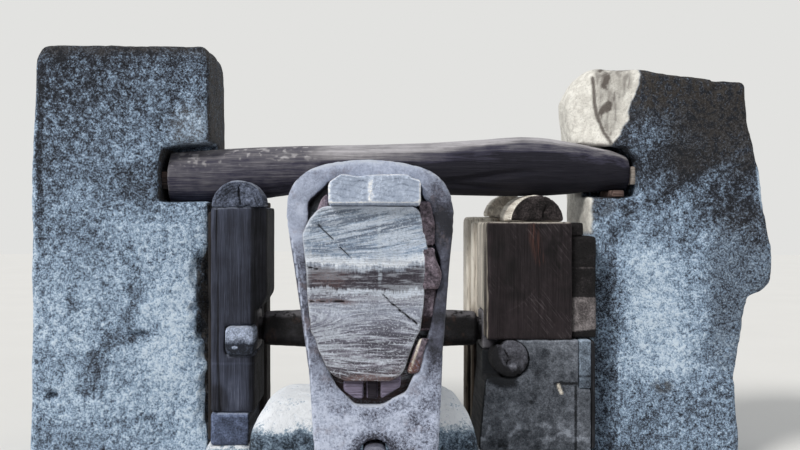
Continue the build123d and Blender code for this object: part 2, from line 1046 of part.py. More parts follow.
def neck_band():
    along = head_back_reach - neck_band_setback - band_width
    return helve_band(along, helve_head_width, helve_head_height, 0)


def tail_shoe():
    """The wear plate on the tail's top, which the cams strike."""
    along = -helve_tail_length + 8 + band_width + 4
    width = helve_tail_width * 0.8
    low = helve_tail_height / 2
    plate = Pos(0, low + shoe_thickness / 2) * Rectangle(width, shoe_thickness)
    solid = extrude(helve_frame.offset(along) * plate, amount=shoe_length)
    return chamfer(solid.faces().sort_by(Axis.Z)[-1].edges(), 6)


# Anvil and stones
def anvil_mid_y():
    return head_front_y + head_depth / 2


def anvil_stone():
    y0 = anvil_stone_front_y
    y1 = back_stone_front_y - seat_gap
    half = anvil_stone_width / 2
    rows = []
    for height, inset in ((0, 0), (anvil_stone_height - 34, 6), (anvil_stone_height, 26)):
        rows.append(
            (
                height,
                [
                    (head_skew - half + inset, y0 + 90 + inset),
                    (head_skew - half + 120 + inset, y0 + inset),
                    (head_skew + half - 150 - inset, y0 + inset),
                    (head_skew + half - inset, y0 + 150 + inset),
                    (head_skew + half - 30 - inset, y1),
                    (head_skew - half + 30 + inset, y1),
                ],
            )
        )
    stone = hewn_stone(rows, 12)
    half_w = anvil_width / 2 + anvil_wedge_gap
    half_d = anvil_depth / 2 + anvil_wedge_gap
    return stone - block(
        head_skew - half_w,
        head_skew + half_w,
        anvil_mid_y() - half_d,
        anvil_mid_y() + half_d,
        anvil_stone_height - anvil_sink,
        anvil_stone_height + 50,
    )


def anvil_block():
    half_w = anvil_width / 2
    half_d = anvil_depth / 2
    solid = block(
        head_skew - half_w,
        head_skew + half_w,
        anvil_mid_y() - half_d,
        anvil_mid_y() + half_d,
        anvil_stone_height - anvil_sink,
        anvil_face_z - anvil_die_height,
    )
    return chamfer(solid.edges(), 12)


def anvil_die():
    half_w = die_width / 2
    half_d = die_depth / 2
    solid = block(
        head_skew - half_w,
        head_skew + half_w,
        anvil_mid_y() - half_d,
        anvil_mid_y() + half_d,
        anvil_face_z - anvil_die_height,
        anvil_face_z,
    )
    return chamfer(solid.edges(), 8)


def anvil_wedges():
    """Oak wedges that hold the anvil in its pocket, one on each side."""
    mid_y = anvil_mid_y()
    low = anvil_stone_height - anvil_sink
    high = anvil_stone_height + 34
    thick = anvil_wedge_gap - 2 * seat_gap
    half_w = anvil_width / 2 + seat_gap
    half_d = anvil_depth / 2 + seat_gap
    found = []
    for side in (-1, 1):
        x0 = head_skew + side * half_w
        x1 = head_skew + side * (half_w + thick)
        found.append(block(min(x0, x1), max(x0, x1), mid_y - 110, mid_y + 110, low, high))
        y0 = mid_y + side * half_d
        y1 = mid_y + side * (half_d + thick)
        found.append(
            block(head_skew - 100, head_skew + 100, min(y0, y1), max(y0, y1), low, high)
        )
    return found


def back_stone():
    """A rounded boulder behind the anvil."""
    x0 = back_stone_x - back_stone_width / 2
    x1 = back_stone_x + back_stone_width / 2
    y0 = back_stone_front_y
    y1 = back_stone_front_y + back_stone_depth
    high = back_stone_height
    rows = []
    for height, inset in (
        (0, 0),
        (high * 0.55, 2),
        (high - 120, 14),
        (high - 52, 50),
        (high - 14, 104),
        (high, 168),
    ):
        rows.append(
            (
                height,
                [
                    (x0 + inset, y0 + inset),
                    (x1 - inset, y0 + inset),
                    (x1 - inset - 20, y1 - inset),
                    (x0 + inset + 14, y1 - inset),
                ],
            )
        )
    return hewn_stone(rows, 54)


def collect():
    """Every node's solids, in the drawing's frame."""
    return {
        "left_pillar": left_pillar(),
        "right_pillar": right_pillar(),
        "crossbeam": crossbeam(),
        "beam_packings": [
            beam_wedge_left(),
            beam_wedge_right(),
            beam_packer_right(),
            left_post_packer(),
        ],
        "left_base_stone": left_base_stone(),
        "left_base_block": left_base_block(),
        "left_post": left_post(),
        "left_post_cap": left_post_cap(),
        "left_side_board": left_side_board(),
        "left_bearing_key": left_bearing_key(),
        "left_bearing": bearing_block(-1),
        "left_rear_post": left_rear_post(),
        "right_base_stone": right_base_stone(),
        "right_lower_block": right_lower_block(),
        "right_inset_block": right_inset_block(),
        "right_bearing_key": right_bearing_key(),
        "right_bearing": bearing_block(1),
        "right_upper_block": right_upper_block(),
        "right_bolster": right_bolster(),
        "right_rear_plank": right_rear_plank(),
        "right_rear_post": right_rear_post(),
        "right_rear_bolster": right_rear_bolster(),
        "right_packers": right_packers() + [right_top_packer()],
        "right_side_board": right_side_board(),
        "helve": helve(),
        "hammer_head": hammer_head(),
        "head_top_wedge": head_top_wedge(),
        "head_side_wedges": head_side_wedges(),
        "head_bottom_shims": head_bottom_shims(),
        "hammer_die": hammer_die(),
        "die_cotter": die_cotter(),
        "trunnion_ring": trunnion_ring(),
        "ring_wedges": ring_wedges(),
        "tail_bands": [tail_end_band(), tail_inner_band()],
        "neck_band": neck_band(),
        "tail_shoe": tail_shoe(),
        "anvil_stone": anvil_stone(),
        "anvil_block": anvil_block(),
        "anvil_die": anvil_die(),
        "anvil_wedges": anvil_wedges(),
        "back_stone": back_stone(),
    }


def solids_of(shape):
    """The separate solids of a node."""
    if isinstance(shape, list):
        return [solid for piece in shape for solid in solids_of(piece)]
    return list(shape.solids())


def main():
    made = {name: Compound(solids_of(shape)) for name, shape in collect().items()}
    room = Compound(list(made.values())).bounding_box()
    to_row = Pos(-room.center().X, -room.center().Y, 0)
    print("row frame shift", to_row.position)
    for name, shape in made.items():
        export_step(shape.moved(to_row), f"parts/{name}.step")


if __name__ == "__main__":
    main()
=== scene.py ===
import json
import math

import bmesh
import bpy
import numpy as np
from bpy.props import FloatProperty, FloatVectorProperty, PointerProperty
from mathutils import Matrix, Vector

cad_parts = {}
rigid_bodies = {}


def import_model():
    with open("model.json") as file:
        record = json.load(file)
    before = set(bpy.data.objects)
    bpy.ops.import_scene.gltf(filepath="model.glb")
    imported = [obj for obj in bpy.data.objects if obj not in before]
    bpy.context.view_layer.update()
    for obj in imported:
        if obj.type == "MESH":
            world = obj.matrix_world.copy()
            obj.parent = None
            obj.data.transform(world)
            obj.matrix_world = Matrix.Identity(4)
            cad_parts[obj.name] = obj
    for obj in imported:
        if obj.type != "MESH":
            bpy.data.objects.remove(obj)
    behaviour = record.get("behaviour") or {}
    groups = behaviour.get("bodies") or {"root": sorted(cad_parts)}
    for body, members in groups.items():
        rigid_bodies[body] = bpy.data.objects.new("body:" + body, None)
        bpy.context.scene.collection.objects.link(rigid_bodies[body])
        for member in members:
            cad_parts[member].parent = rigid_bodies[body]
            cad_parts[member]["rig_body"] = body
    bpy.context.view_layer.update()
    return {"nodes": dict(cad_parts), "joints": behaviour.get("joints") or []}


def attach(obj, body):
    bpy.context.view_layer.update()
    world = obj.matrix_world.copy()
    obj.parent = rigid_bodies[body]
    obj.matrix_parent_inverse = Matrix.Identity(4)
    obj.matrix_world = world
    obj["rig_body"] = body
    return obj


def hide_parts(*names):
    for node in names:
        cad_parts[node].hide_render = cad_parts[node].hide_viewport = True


bl_info = {
    "name": "Trip Hammer",
    "version": (1, 0, 0),
    "blender": (4, 5, 0),
    "location": "View3D > Sidebar > Trip Hammer",
    "description": "Dresses the trip hammer's frame in granite, timber and iron",
    "category": "Object",
}

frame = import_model()

# The drawing's zero lies on the helve's centre line, on the front plane of the pillars and on
# the ground. The trunnions' axis runs this far behind it and this high, in metres.
axis_behind = 0.080
axis_height = 0.690
trunnion = np.array(frame["joints"][0]["pos_m"])
drawing_zero = trunnion - np.array((0.0, axis_behind, axis_height))

# The photograph in pixels: its width, its focal length and how far its middle was shifted
photo_width = 800
photo_focal = 900
photo_right = 30
photo_down = 7

# The eye that took it, on the drawing, and the camera's film, in millimetres
eye = (0, -4500, 1250)
film_width = 36.0

# The studio's round floor, in metres
floor_radius = 30.0
floor_sides = 96

# The studio's light: which way it falls, how wide it is in degrees, and its colours
light_way = (0.62, 0.62, -0.80)
light_width = 16
light_colour = (1.0, 0.985, 0.96)
sky_colour = (0.94, 0.97, 1.0, 1.0)

X, Y, Z = 0, 1, 2


def tone(red, green, blue):
    """A colour written as 0 to 255 display values, turned into linear light."""
    made = []
    for value in (red / 255, green / 255, blue / 255):
        made.append(value / 12.92 if value <= 0.04045 else ((value + 0.055) / 1.055) ** 2.4)
    return tuple(made)


def spot(x, y, z):
    """A place on the drawing, in millimetres, as metres in the row frame."""
    return drawing_zero + np.array((x, y, z)) / 1000


def drawn(points):
    """The points' places on the drawing, in millimetres."""
    return ((points - drawing_zero) * 1000).T


# Large odd numbers that scatter the noise's values from cell to cell
odd_x = 374761393
odd_y = 668265263
odd_z = 1440670441
odd_seed = 1013904223
odd_mix = 1274126177
low_bits = 0xFFFFFFFF


# Noise for the carving, worked out for all the points of a piece at once
def lumps(points, size, seed):
    """Smooth noise from -1 to 1 with lumps about size metres across."""
    place = points / size + seed * 19.37
    corner = np.floor(place)
    share = place - corner
    share = share * share * (3 - 2 * share)
    corner = corner.astype(np.int64)
    total = np.zeros(len(points))
    for index in range(8):
        step = np.array([(index >> bit) & 1 for bit in range(3)])
        cell = corner + step
        mixed = cell[:, X] * odd_x + cell[:, Y] * odd_y + cell[:, Z] * odd_z
        mixed = (mixed + seed * odd_seed) & low_bits
        mixed = ((mixed ^ (mixed >> 13)) * odd_mix) & low_bits
        value = ((mixed ^ (mixed >> 16)) & 0xFFFF) / 32767.5 - 1
        total += value * np.prod(np.where(step == 1, share, 1 - share), axis=1)
    return total


def rubble(points, size, octaves, seed):
    """Noise from about -1 to 1 with finer lumps riding on coarser ones."""
    total = np.zeros(len(points))
    weight = 1.0
    whole = 0.0
    for octave in range(octaves):
        total += weight * lumps(points, size / 2**octave, seed + 7 * octave)
        whole += weight
        weight *= 0.55
    return total / whole


def soft_step(values, low, high):
    """0 below low, 1 above high, and a smooth turn between them."""
    share = np.clip((values - low) / (high - low), 0, 1)
    return share * share * (3 - 2 * share)


def fade(values, low, high):
    """1 below low, 0 above high, and a smooth turn between them."""
    return 1 - soft_step(values, low, high)


def veins(points, size, width, seed):
    """1 on thin wandering lines and 0 away from them."""
    return np.clip(1 - np.abs(lumps(points, size, seed)) / width, 0, 1)


# Meshes
def solids_of(node):
    """The separate solids of a CAD node as new meshes, their split corners welded."""
    whole = bmesh.new()
    whole.from_mesh(frame["nodes"][node].data)
    bmesh.ops.remove_doubles(whole, verts=whole.verts, dist=1e-6)
    whole.verts.ensure_lookup_table()
    owner = [-1] * len(whole.verts)
    count = 0
    for start in whole.verts:
        if owner[start.index] >= 0:
            continue
        owner[start.index] = count
        waiting = [start]
        while waiting:
            vertex = waiting.pop()
            for edge in vertex.link_edges:
                other = edge.other_vert(vertex)
                if owner[other.index] < 0:
                    owner[other.index] = count
                    waiting.append(other)
        count += 1
    made = []
    for index in range(count):
        part = whole.copy()
        part.verts.ensure_lookup_table()
        others = [v for v in part.verts if owner[v.index] != index]
        bmesh.ops.delete(part, geom=others, context="VERTS")
        mesh = bpy.data.meshes.new(f"{node}_{index + 1}")
        part.to_mesh(mesh)
        part.free()
        made.append(mesh)
    whole.free()
    return made


def cut_off(mesh, point, direction):
    """The mesh with what lies beyond a plane sawn off and the cut closed."""
    shape = bmesh.new()
    shape.from_mesh(mesh)
    geometry = shape.verts[:] + shape.edges[:] + shape.faces[:]
    sawn = bmesh.ops.bisect_plane(
        shape, geom=geometry, plane_co=point, plane_no=direction, clear_outer=True
    )
    rim = [e for e in sawn["geom_cut"] if isinstance(e, bmesh.types.BMEdge)]
    bmesh.ops.holes_fill(shape, edges=rim)
    made = bpy.data.meshes.new(mesh.name)
    shape.to_mesh(made)
    shape.free()
    return made


def settle(piece):
    """Makes the shape that a piece's modifiers give it its own mesh."""
    ready = piece.evaluated_get(bpy.context.evaluated_depsgraph_get())
    skin = bpy.data.meshes.new_from_object(ready)
    piece.modifiers.clear()
    piece.data = skin


def cast(name, mesh, cell):
    """An object with an even skin of small quads over a closed mesh."""
    piece = bpy.data.objects.new(name, mesh)
    bpy.context.scene.collection.objects.link(piece)
    mould = piece.modifiers.new("mould", "REMESH")
    mould.mode = "VOXEL"
    mould.voxel_size = cell
    settle(piece)
    return piece


def relaxed(points, ends, rounds):
    """The points after each has moved half way to its neighbours' middle, several times."""
    count = np.bincount(ends.ravel(), minlength=len(points))
    for _ in range(rounds):
        middle = np.empty_like(points)
        for axis in (X, Y, Z):
            near = np.concatenate((points[ends[:, 1], axis], points[ends[:, 0], axis]))
            home = np.concatenate((ends[:, 0], ends[:, 1]))
            middle[:, axis] = np.bincount(home, weights=near, minlength=len(points)) / count
        points = points + 0.5 * (middle - points)
    return points


def carve(piece, worker, soften=2, corner_rounds=12, bend=None):
    """Reshapes an even skin. The worker takes the points, their normals and how near each is
    to a corner, 1 at an outer one and -1 at an inner one, and gives the depth to sink each
    and the layers of paint to keep. A bend moves the points first."""
    mesh = piece.data
    count = len(mesh.vertices)
    flat = np.empty(count * 3)
    mesh.vertices.foreach_get("co", flat)
    points = flat.reshape(-1, 3)
    pairs = np.empty(len(mesh.edges) * 2, dtype=np.int64)
    mesh.edges.foreach_get("vertices", pairs)
    ends = pairs.reshape(-1, 2)
    points = relaxed(points, ends, soften)
    if bend is not None:
        points = bend(points)
    mesh.vertices.foreach_set("co", points.ravel())
    mesh.update()
    bent = np.empty(count * 3, dtype=np.float32)
    mesh.vertex_normals.foreach_get("vector", bent)
    normals = bent.reshape(-1, 3).astype(float)
    gap = ((points - relaxed(points, ends, corner_rounds)) * normals).sum(axis=1)
    reach = np.percentile(gap, 99.5) + 1e-9
    corner = np.clip(gap / reach, -1, 1)
    depth, layers = worker(points, normals, corner)
    points = points - normals * depth[:, None]
    points[:, Z] = np.maximum(points[:, Z], 0.0)
    mesh.vertices.foreach_set("co", points.ravel())
    for name, values in layers.items():
        layer = mesh.attributes.new(name, "FLOAT", "POINT")
        layer.data.foreach_set("value", np.clip(values, 0, 1).astype(np.float32))
    mesh.shade_smooth()
    mesh.update()
    lighten(piece, points, normals)


# Share of a skin's triangles that it keeps, and how much sooner its coarser places lose them
kept_share = 0.48
coarser_pull = 0.0002


def lighten(piece, points, normals):
    """Leaves a skin fine on the front, and makes it coarser on the sides, top and back."""
    across = drawn(points)[0]
    front = soft_step(-normals[:, Y], 0.25, 0.55)
    inward = soft_step(-normals[:, X] * np.sign(across), 0.3, 0.7)
    weights = np.round(4 * (1 - np.maximum(front, 0.5 * inward))) / 4
    group = piece.vertex_groups.new(name="coarser")
    for weight in (0.25, 0.5, 0.75, 1.0):
        group.add(np.flatnonzero(weights == weight).tolist(), weight, "REPLACE")
    thin = piece.modifiers.new("thin", "DECIMATE")
    thin.ratio = kept_share
    thin.vertex_group = group.name
    thin.vertex_group_factor = coarser_pull
    settle(piece)
    piece.vertex_groups.clear()


def stand_for(piece, node, finish):
    """Gives a piece its finish, and lets it stand for a CAD node on that node's body."""
    piece.data.materials.clear()
    piece.data.materials.append(finish)
    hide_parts(node)
    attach(piece, frame["nodes"][node]["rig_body"])


def dress(node, worker, finish, cell, soften=2, corner_rounds=12, bend=None):
    """Replaces each solid of a CAD node by its own carved piece."""
    meshes = solids_of(node)
    for index, mesh in enumerate(meshes):
        name = f"{node}_skin" if len(meshes) == 1 else f"{node}_skin_{index + 1}"
        piece = cast(name, mesh, cell)
        carve(piece, worker, soften, corner_rounds, bend)
        stand_for(piece, node, finish)


# Finishes
class Finish:
    """A material under construction, its patterns set out in the piece's own coordinates."""

    def __init__(self, name, roughness, metallic=0.0):
        self.material = bpy.data.materials.new(name)
        self.material.use_nodes = True
        self.tree = self.material.node_tree
        self.shader = self.tree.nodes["Principled BSDF"]
        self.shader.inputs["Roughness"].default_value = roughness
        self.shader.inputs["Metallic"].default_value = metallic
        self.shader.inputs["Specular IOR Level"].default_value = 0.3
        source = self.node("ShaderNodeTexCoord")
        self.place = source.outputs["Object"]
        self.normal = source.outputs["Normal"]
        self.relief = None

    def node(self, kind, settings=None, inputs=None):
        made = self.tree.nodes.new(kind)
        for key, value in (settings or {}).items():
            setattr(made, key, value)
        for key, value in (inputs or {}).items():
            if isinstance(value, bpy.types.NodeSocket):
                self.tree.links.new(value, made.inputs[key])
            else:
                made.inputs[key].default_value = value
        return made

    def stretched(self, along, share, tilt=0.0):
        """Coordinates squeezed along one axis, so that patterns run long that way."""
        place = self.place
        if tilt:
            turn = (0.0, math.radians(tilt), 0.0)
            made = self.node("ShaderNodeMapping", inputs={"Vector": place, "Rotation": turn})
            place = made.outputs[0]
        scale = [1.0, 1.0, 1.0]
        scale[along] = share
        made = self.node("ShaderNodeMapping", inputs={"Vector": place, "Scale": scale})
        return made.outputs[0]

    def distance(self, centre, scale=(1.0, 1.0, 1.0)):
        """How far a point is from a place in the row frame, each axis counted by its scale."""
        kind = "ShaderNodeVectorMath"
        away = self.node(kind, {"operation": "SUBTRACT"}, {0: self.place, 1: centre})
        counted = self.node(kind, {"operation": "MULTIPLY"}, {0: away.outputs[0], 1: scale})
        length = self.node(kind, {"operation": "LENGTH"}, {0: counted.outputs[0]})
        return length.outputs["Value"]

    def clouds(self, size, detail=4.0, rough=0.55, vector=None, bend=0.0):
        inputs = {
            "Vector": vector or self.place,
            "Scale": 1.0 / size,
            "Detail": detail,
            "Roughness": rough,
            "Distortion": bend,
        }
        return self.node("ShaderNodeTexNoise", inputs=inputs).outputs[0]

    def share(self, value, low, high, start=0.0, end=1.0):
        """start below low, end above high, smoothly turned between."""
        inputs = {"Value": value, "From Min": low, "From Max": high, "To Min": start, "To Max": end}
        settings = {"interpolation_type": "SMOOTHSTEP"}
        return self.node("ShaderNodeMapRange", settings, inputs).outputs[0]

    def maths(self, operation, first, second=0.0):
        made = self.node("ShaderNodeMath", {"operation": operation}, {0: first, 1: second})
        return made.outputs[0]

    def times(self, *values):
        total = values[0]
        for value in values[1:]:
            total = self.maths("MULTIPLY", total, value)
        return total

    def plus(self, *values):
        total = values[0]
        for value in values[1:]:
            total = self.maths("ADD", total, value)
        return total

    def sum_of(self, *shares):
        """Adds patterns, each given with its weight."""
        return self.plus(*(self.times(value, weight) for value, weight in shares))

    def ramp(self, value, stops):
        made = self.node("ShaderNodeValToRGB", inputs={"Fac": value})
        elements = made.color_ramp.elements
        while len(elements) < len(stops):
            elements.new(0.5)
        for element, (position, colour) in zip(elements, stops):
            element.position = position
            element.color = (*colour, 1.0)
        return made.outputs["Color"]

    def mix(self, amount, under, over, kind="MIX"):
        settings = {"data_type": "RGBA", "blend_type": kind, "clamp_factor": True}
        made = self.node("ShaderNodeMix", settings)
        for index, value in ((0, amount), (6, under), (7, over)):
            if isinstance(value, bpy.types.NodeSocket):
                self.tree.links.new(value, made.inputs[index])
            elif index == 0:
                made.inputs[index].default_value = value
            else:
                made.inputs[index].default_value = (*value, 1.0)
        return made.outputs[2]

    def painted(self, layer):
        return self.node("ShaderNodeAttribute", {"attribute_name": layer}).outputs["Fac"]

    def part_of(self, vector, axis):
        return self.node("ShaderNodeSeparateXYZ", inputs={0: vector}).outputs[axis]

    def bump(self, height, distance, strength=1.0):
        """Adds relief; later calls ride on earlier ones."""
        inputs = {"Height": height, "Distance": distance, "Strength": strength}
        if self.relief is not None:
            inputs["Normal"] = self.relief
        self.relief = self.node("ShaderNodeBump", inputs=inputs).outputs[0]

    def done(self, colour, roughness=None):
        self.tree.links.new(colour, self.shader.inputs["Base Color"])
        if roughness is not None:
            self.tree.links.new(roughness, self.shader.inputs["Roughness"])
        if self.relief is not None:
            self.tree.links.new(self.relief, self.shader.inputs["Normal"])
        return self.material


def granite(name, pale, dark, fleck, dust=None, pale_gain=0.26):
    """Rough granite. The painted layers move the share of dark and pale crystals, so that
    stains, painted shade and painted sunlight stay speckled, and add brown and cream, the
    cream mostly as painted sunlight."""
    f = Finish(name, 0.9)
    crystal = f.share(f.clouds(0.0095, 4.0, 0.85), 0.28, 0.72)
    cluster = f.share(f.clouds(0.034, 4.0, 0.65, bend=0.3), 0.28, 0.72)
    slow = f.share(f.clouds(0.24, 5.0, 0.6, bend=0.5), 0.28, 0.72)
    speckle = f.plus(f.sum_of((crystal, 0.86), (cluster, 0.46), (slow, 0.26)), -0.79)
    level = f.plus(speckle, 0.68, f.times(f.painted("dark"), -0.62))
    level = f.plus(level, f.times(f.painted("pale"), pale_gain))
    blackest = tuple(0.22 * value for value in dark)
    middle = tuple(0.42 * a + 0.58 * b for a, b in zip(pale, dark))
    stops = ((0.0, blackest), (0.22, dark), (0.47, middle), (0.70, pale), (1.0, fleck))
    body = f.ramp(level, stops)
    # The cream layer mixes in cream, mostly as painted sunlight.
    cream = f.mix(f.share(cluster, 0.0, 1.0, 0.0, 0.6), tone(244, 241, 232), tone(192, 187, 178))
    cream = f.mix(f.share(crystal, 0.30, 0.05, 0.0, 0.5), cream, tone(130, 122, 114))
    cream = f.mix(f.painted("dark"), cream, tone(84, 76, 71))
    body = f.mix(f.painted("cream"), body, cream)
    brown = f.times(f.painted("rust"), f.share(cluster, 0.1, 0.7))
    body = f.mix(brown, body, f.mix(crystal, tone(30, 28, 28), tone(72, 67, 63)))
    if dust is not None:
        up = f.share(f.part_of(f.normal, Z), 0.25, 0.80)
        lying = f.times(up, f.share(cluster, 0.05, 0.65))
        body = f.mix(lying, body, dust)
    f.bump(slow, 0.006, 0.6)
    f.bump(cluster, 0.004, 0.7)
    f.bump(crystal, 0.0022, 0.9)
    return f.done(body, f.share(crystal, 0.0, 1.0, 0.95, 0.78))


def timber(name, light, dark, along, heart=None, ring=0.016, saw=None, sunlit=None, dust=None,
           calm=1.0):
    """Old oak. Fibres run along one axis. Where the tree is cut across, a heart gives growth
    rings, and a saw tilt gives scratches on the faces along the grain. Calm below 1 softens
    the grain's contrast."""
    f = Finish(name, 0.86)
    run = f.stretched(along, 0.035)
    fibre = f.share(f.clouds(0.0065, 5.0, 0.7, run), 0.34, 0.66)
    band = f.share(f.clouds(0.032, 4.0, 0.6, run, bend=0.6), 0.34, 0.66)
    patch = f.share(f.clouds(0.12, 5.0, 0.6), 0.32, 0.68)
    grain = f.sum_of((fibre, 0.46), (band, 0.28), (patch, 0.26))
    cut = f.share(f.maths("ABSOLUTE", f.part_of(f.normal, along)), 0.55, 0.85)
    pore = f.share(f.clouds(0.008, 5.0, 0.75), 0.36, 0.64)
    blot = f.share(f.clouds(0.05, 5.0, 0.65, bend=0.4), 0.34, 0.66)
    across = f.sum_of((pore, 0.40), (blot, 0.38), (patch, 0.22))
    if heart is not None:
        flat = [0.0 if axis == along else 1.0 for axis in (X, Y, Z)]
        far = f.plus(f.distance(heart, flat), f.times(f.clouds(0.08, 4.0, 0.6), 0.045))
        wave = f.maths("SINE", f.times(far, 2 * math.pi / ring))
        rings = f.times(f.share(wave, -0.3, 1.0), f.share(blot, 0.9, 0.2))
        across = f.plus(across, f.times(rings, -0.22))
        f.bump(f.times(rings, cut), -0.0010, 0.8)
    if saw is not None:
        scratch = f.share(f.clouds(0.005, 5.0, 0.7, f.stretched(Z, 0.04, saw)), 0.50, 0.68)
        here = f.share(f.clouds(0.16, 3.0, 0.5), 0.46, 0.60)
        scratch = f.times(scratch, here)
        f.bump(scratch, 0.0012, 0.8)
    level = f.plus(grain, f.times(cut, f.plus(across, f.times(grain, -1.0))))
    level = f.plus(f.times(f.plus(level, -0.48), calm), 0.48)
    if saw is not None:
        level = f.plus(level, f.times(scratch, 0.62))
    level = f.plus(level, f.times(f.painted("dark"), -0.7), f.times(f.painted("pale"), 0.45))
    middle = tuple(0.62 * a + 0.38 * b for a, b in zip(dark, light))
    blackest = tuple(0.30 * value for value in dark)
    chalk = tuple(min(1.0, 1.7 * value + 0.03) for value in light)
    stops = ((0.0, blackest), (0.24, dark), (0.48, middle), (0.74, light), (1.0, chalk))
    body = f.ramp(level, stops)
    # Faces turned to -X take the sunlit colour in streaks: painted sunlight.
    if sunlit is not None:
        facing = f.share(f.part_of(f.normal, X), -0.40, -0.75)
        streak = f.share(grain, 0.18, 0.42)
        shown = f.plus(1.0, f.times(f.painted("dark"), -0.8))
        glow = f.mix(f.share(band, 0.2, 0.8), sunlit, light)
        body = f.mix(f.times(facing, streak, shown), body, glow)
    if dust is not None:
        up = f.share(f.part_of(f.normal, Z), 0.30, 0.80)
        body = f.mix(f.times(up, f.share(blot, 0.05, 0.6)), body, dust)
    # The cream layer mixes in cream, mostly as painted sunlight.
    cream = f.mix(f.share(band, 0.2, 0.8), tone(250, 243, 230), tone(214, 205, 192))
    cream = f.mix(f.share(fibre, 0.30, 0.05, 0.0, 0.65), cream, tone(120, 106, 92))
    body = f.mix(f.painted("cream"), body, cream)
    red = f.times(f.painted("rust"), f.share(fibre, 0.25, 0.75))
    body = f.mix(red, body, tone(104, 66, 54))
    f.bump(f.times(fibre, f.maths("SUBTRACT", 1.0, cut)), 0.0026, 0.9)
    f.bump(f.times(pore, cut), 0.0020, 0.8)
    f.bump(band, 0.0045, 0.5)
    return f.done(body, f.share(grain, 0.2, 0.8, 0.94, 0.76))


def iron(name, bright, dull, rust, metallic, dust=None):
    """Heavy iron: scale and dust over a dull face, rust in patches and bright worn corners."""
    f = Finish(name, 0.6, metallic)
    slow = f.share(f.clouds(0.16, 5.0, 0.6), 0.30, 0.70)
    scale = f.share(f.clouds(0.034, 5.0, 0.7), 0.34, 0.66)
    fine = f.share(f.clouds(0.0068, 4.0, 0.8), 0.30, 0.70)
    pits = f.painted("pits")
    rough = f.times(pits, f.plus(f.sum_of((fine, 0.62), (scale, 0.20)), -0.40))
    level = f.plus(f.sum_of((slow, 0.26), (scale, 0.16), (fine, 0.14)), 0.33, rough)
    level = f.plus(level, f.times(f.painted("dark"), -0.62), f.times(f.painted("pale"), 0.40))
    middle = tuple(0.5 * (a + b) for a, b in zip(bright, dull))
    blackest = tuple(0.25 * value for value in dull)
    flash = tuple(min(1.0, 1.12 * value + 0.15) for value in bright)
    stops = ((0.0, blackest), (0.20, dull), (0.40, middle), (0.62, bright), (0.95, flash))
    body = f.ramp(level, stops)
    stain = f.times(f.share(f.clouds(0.07, 5.0, 0.7), 0.52, 0.70), 0.5)
    body = f.mix(f.maths("MAXIMUM", stain, f.painted("rust")), body, rust)
    if dust is not None:
        up = f.share(f.part_of(f.normal, Z), 0.20, 0.75)
        body = f.mix(f.times(up, f.share(scale, 0.0, 0.6)), body, dust)
    f.bump(scale, 0.0022, 0.5)
    f.bump(fine, 0.0010, 0.8)
    return f.done(body, f.share(fine, 0.2, 0.8, 0.52, 0.74))


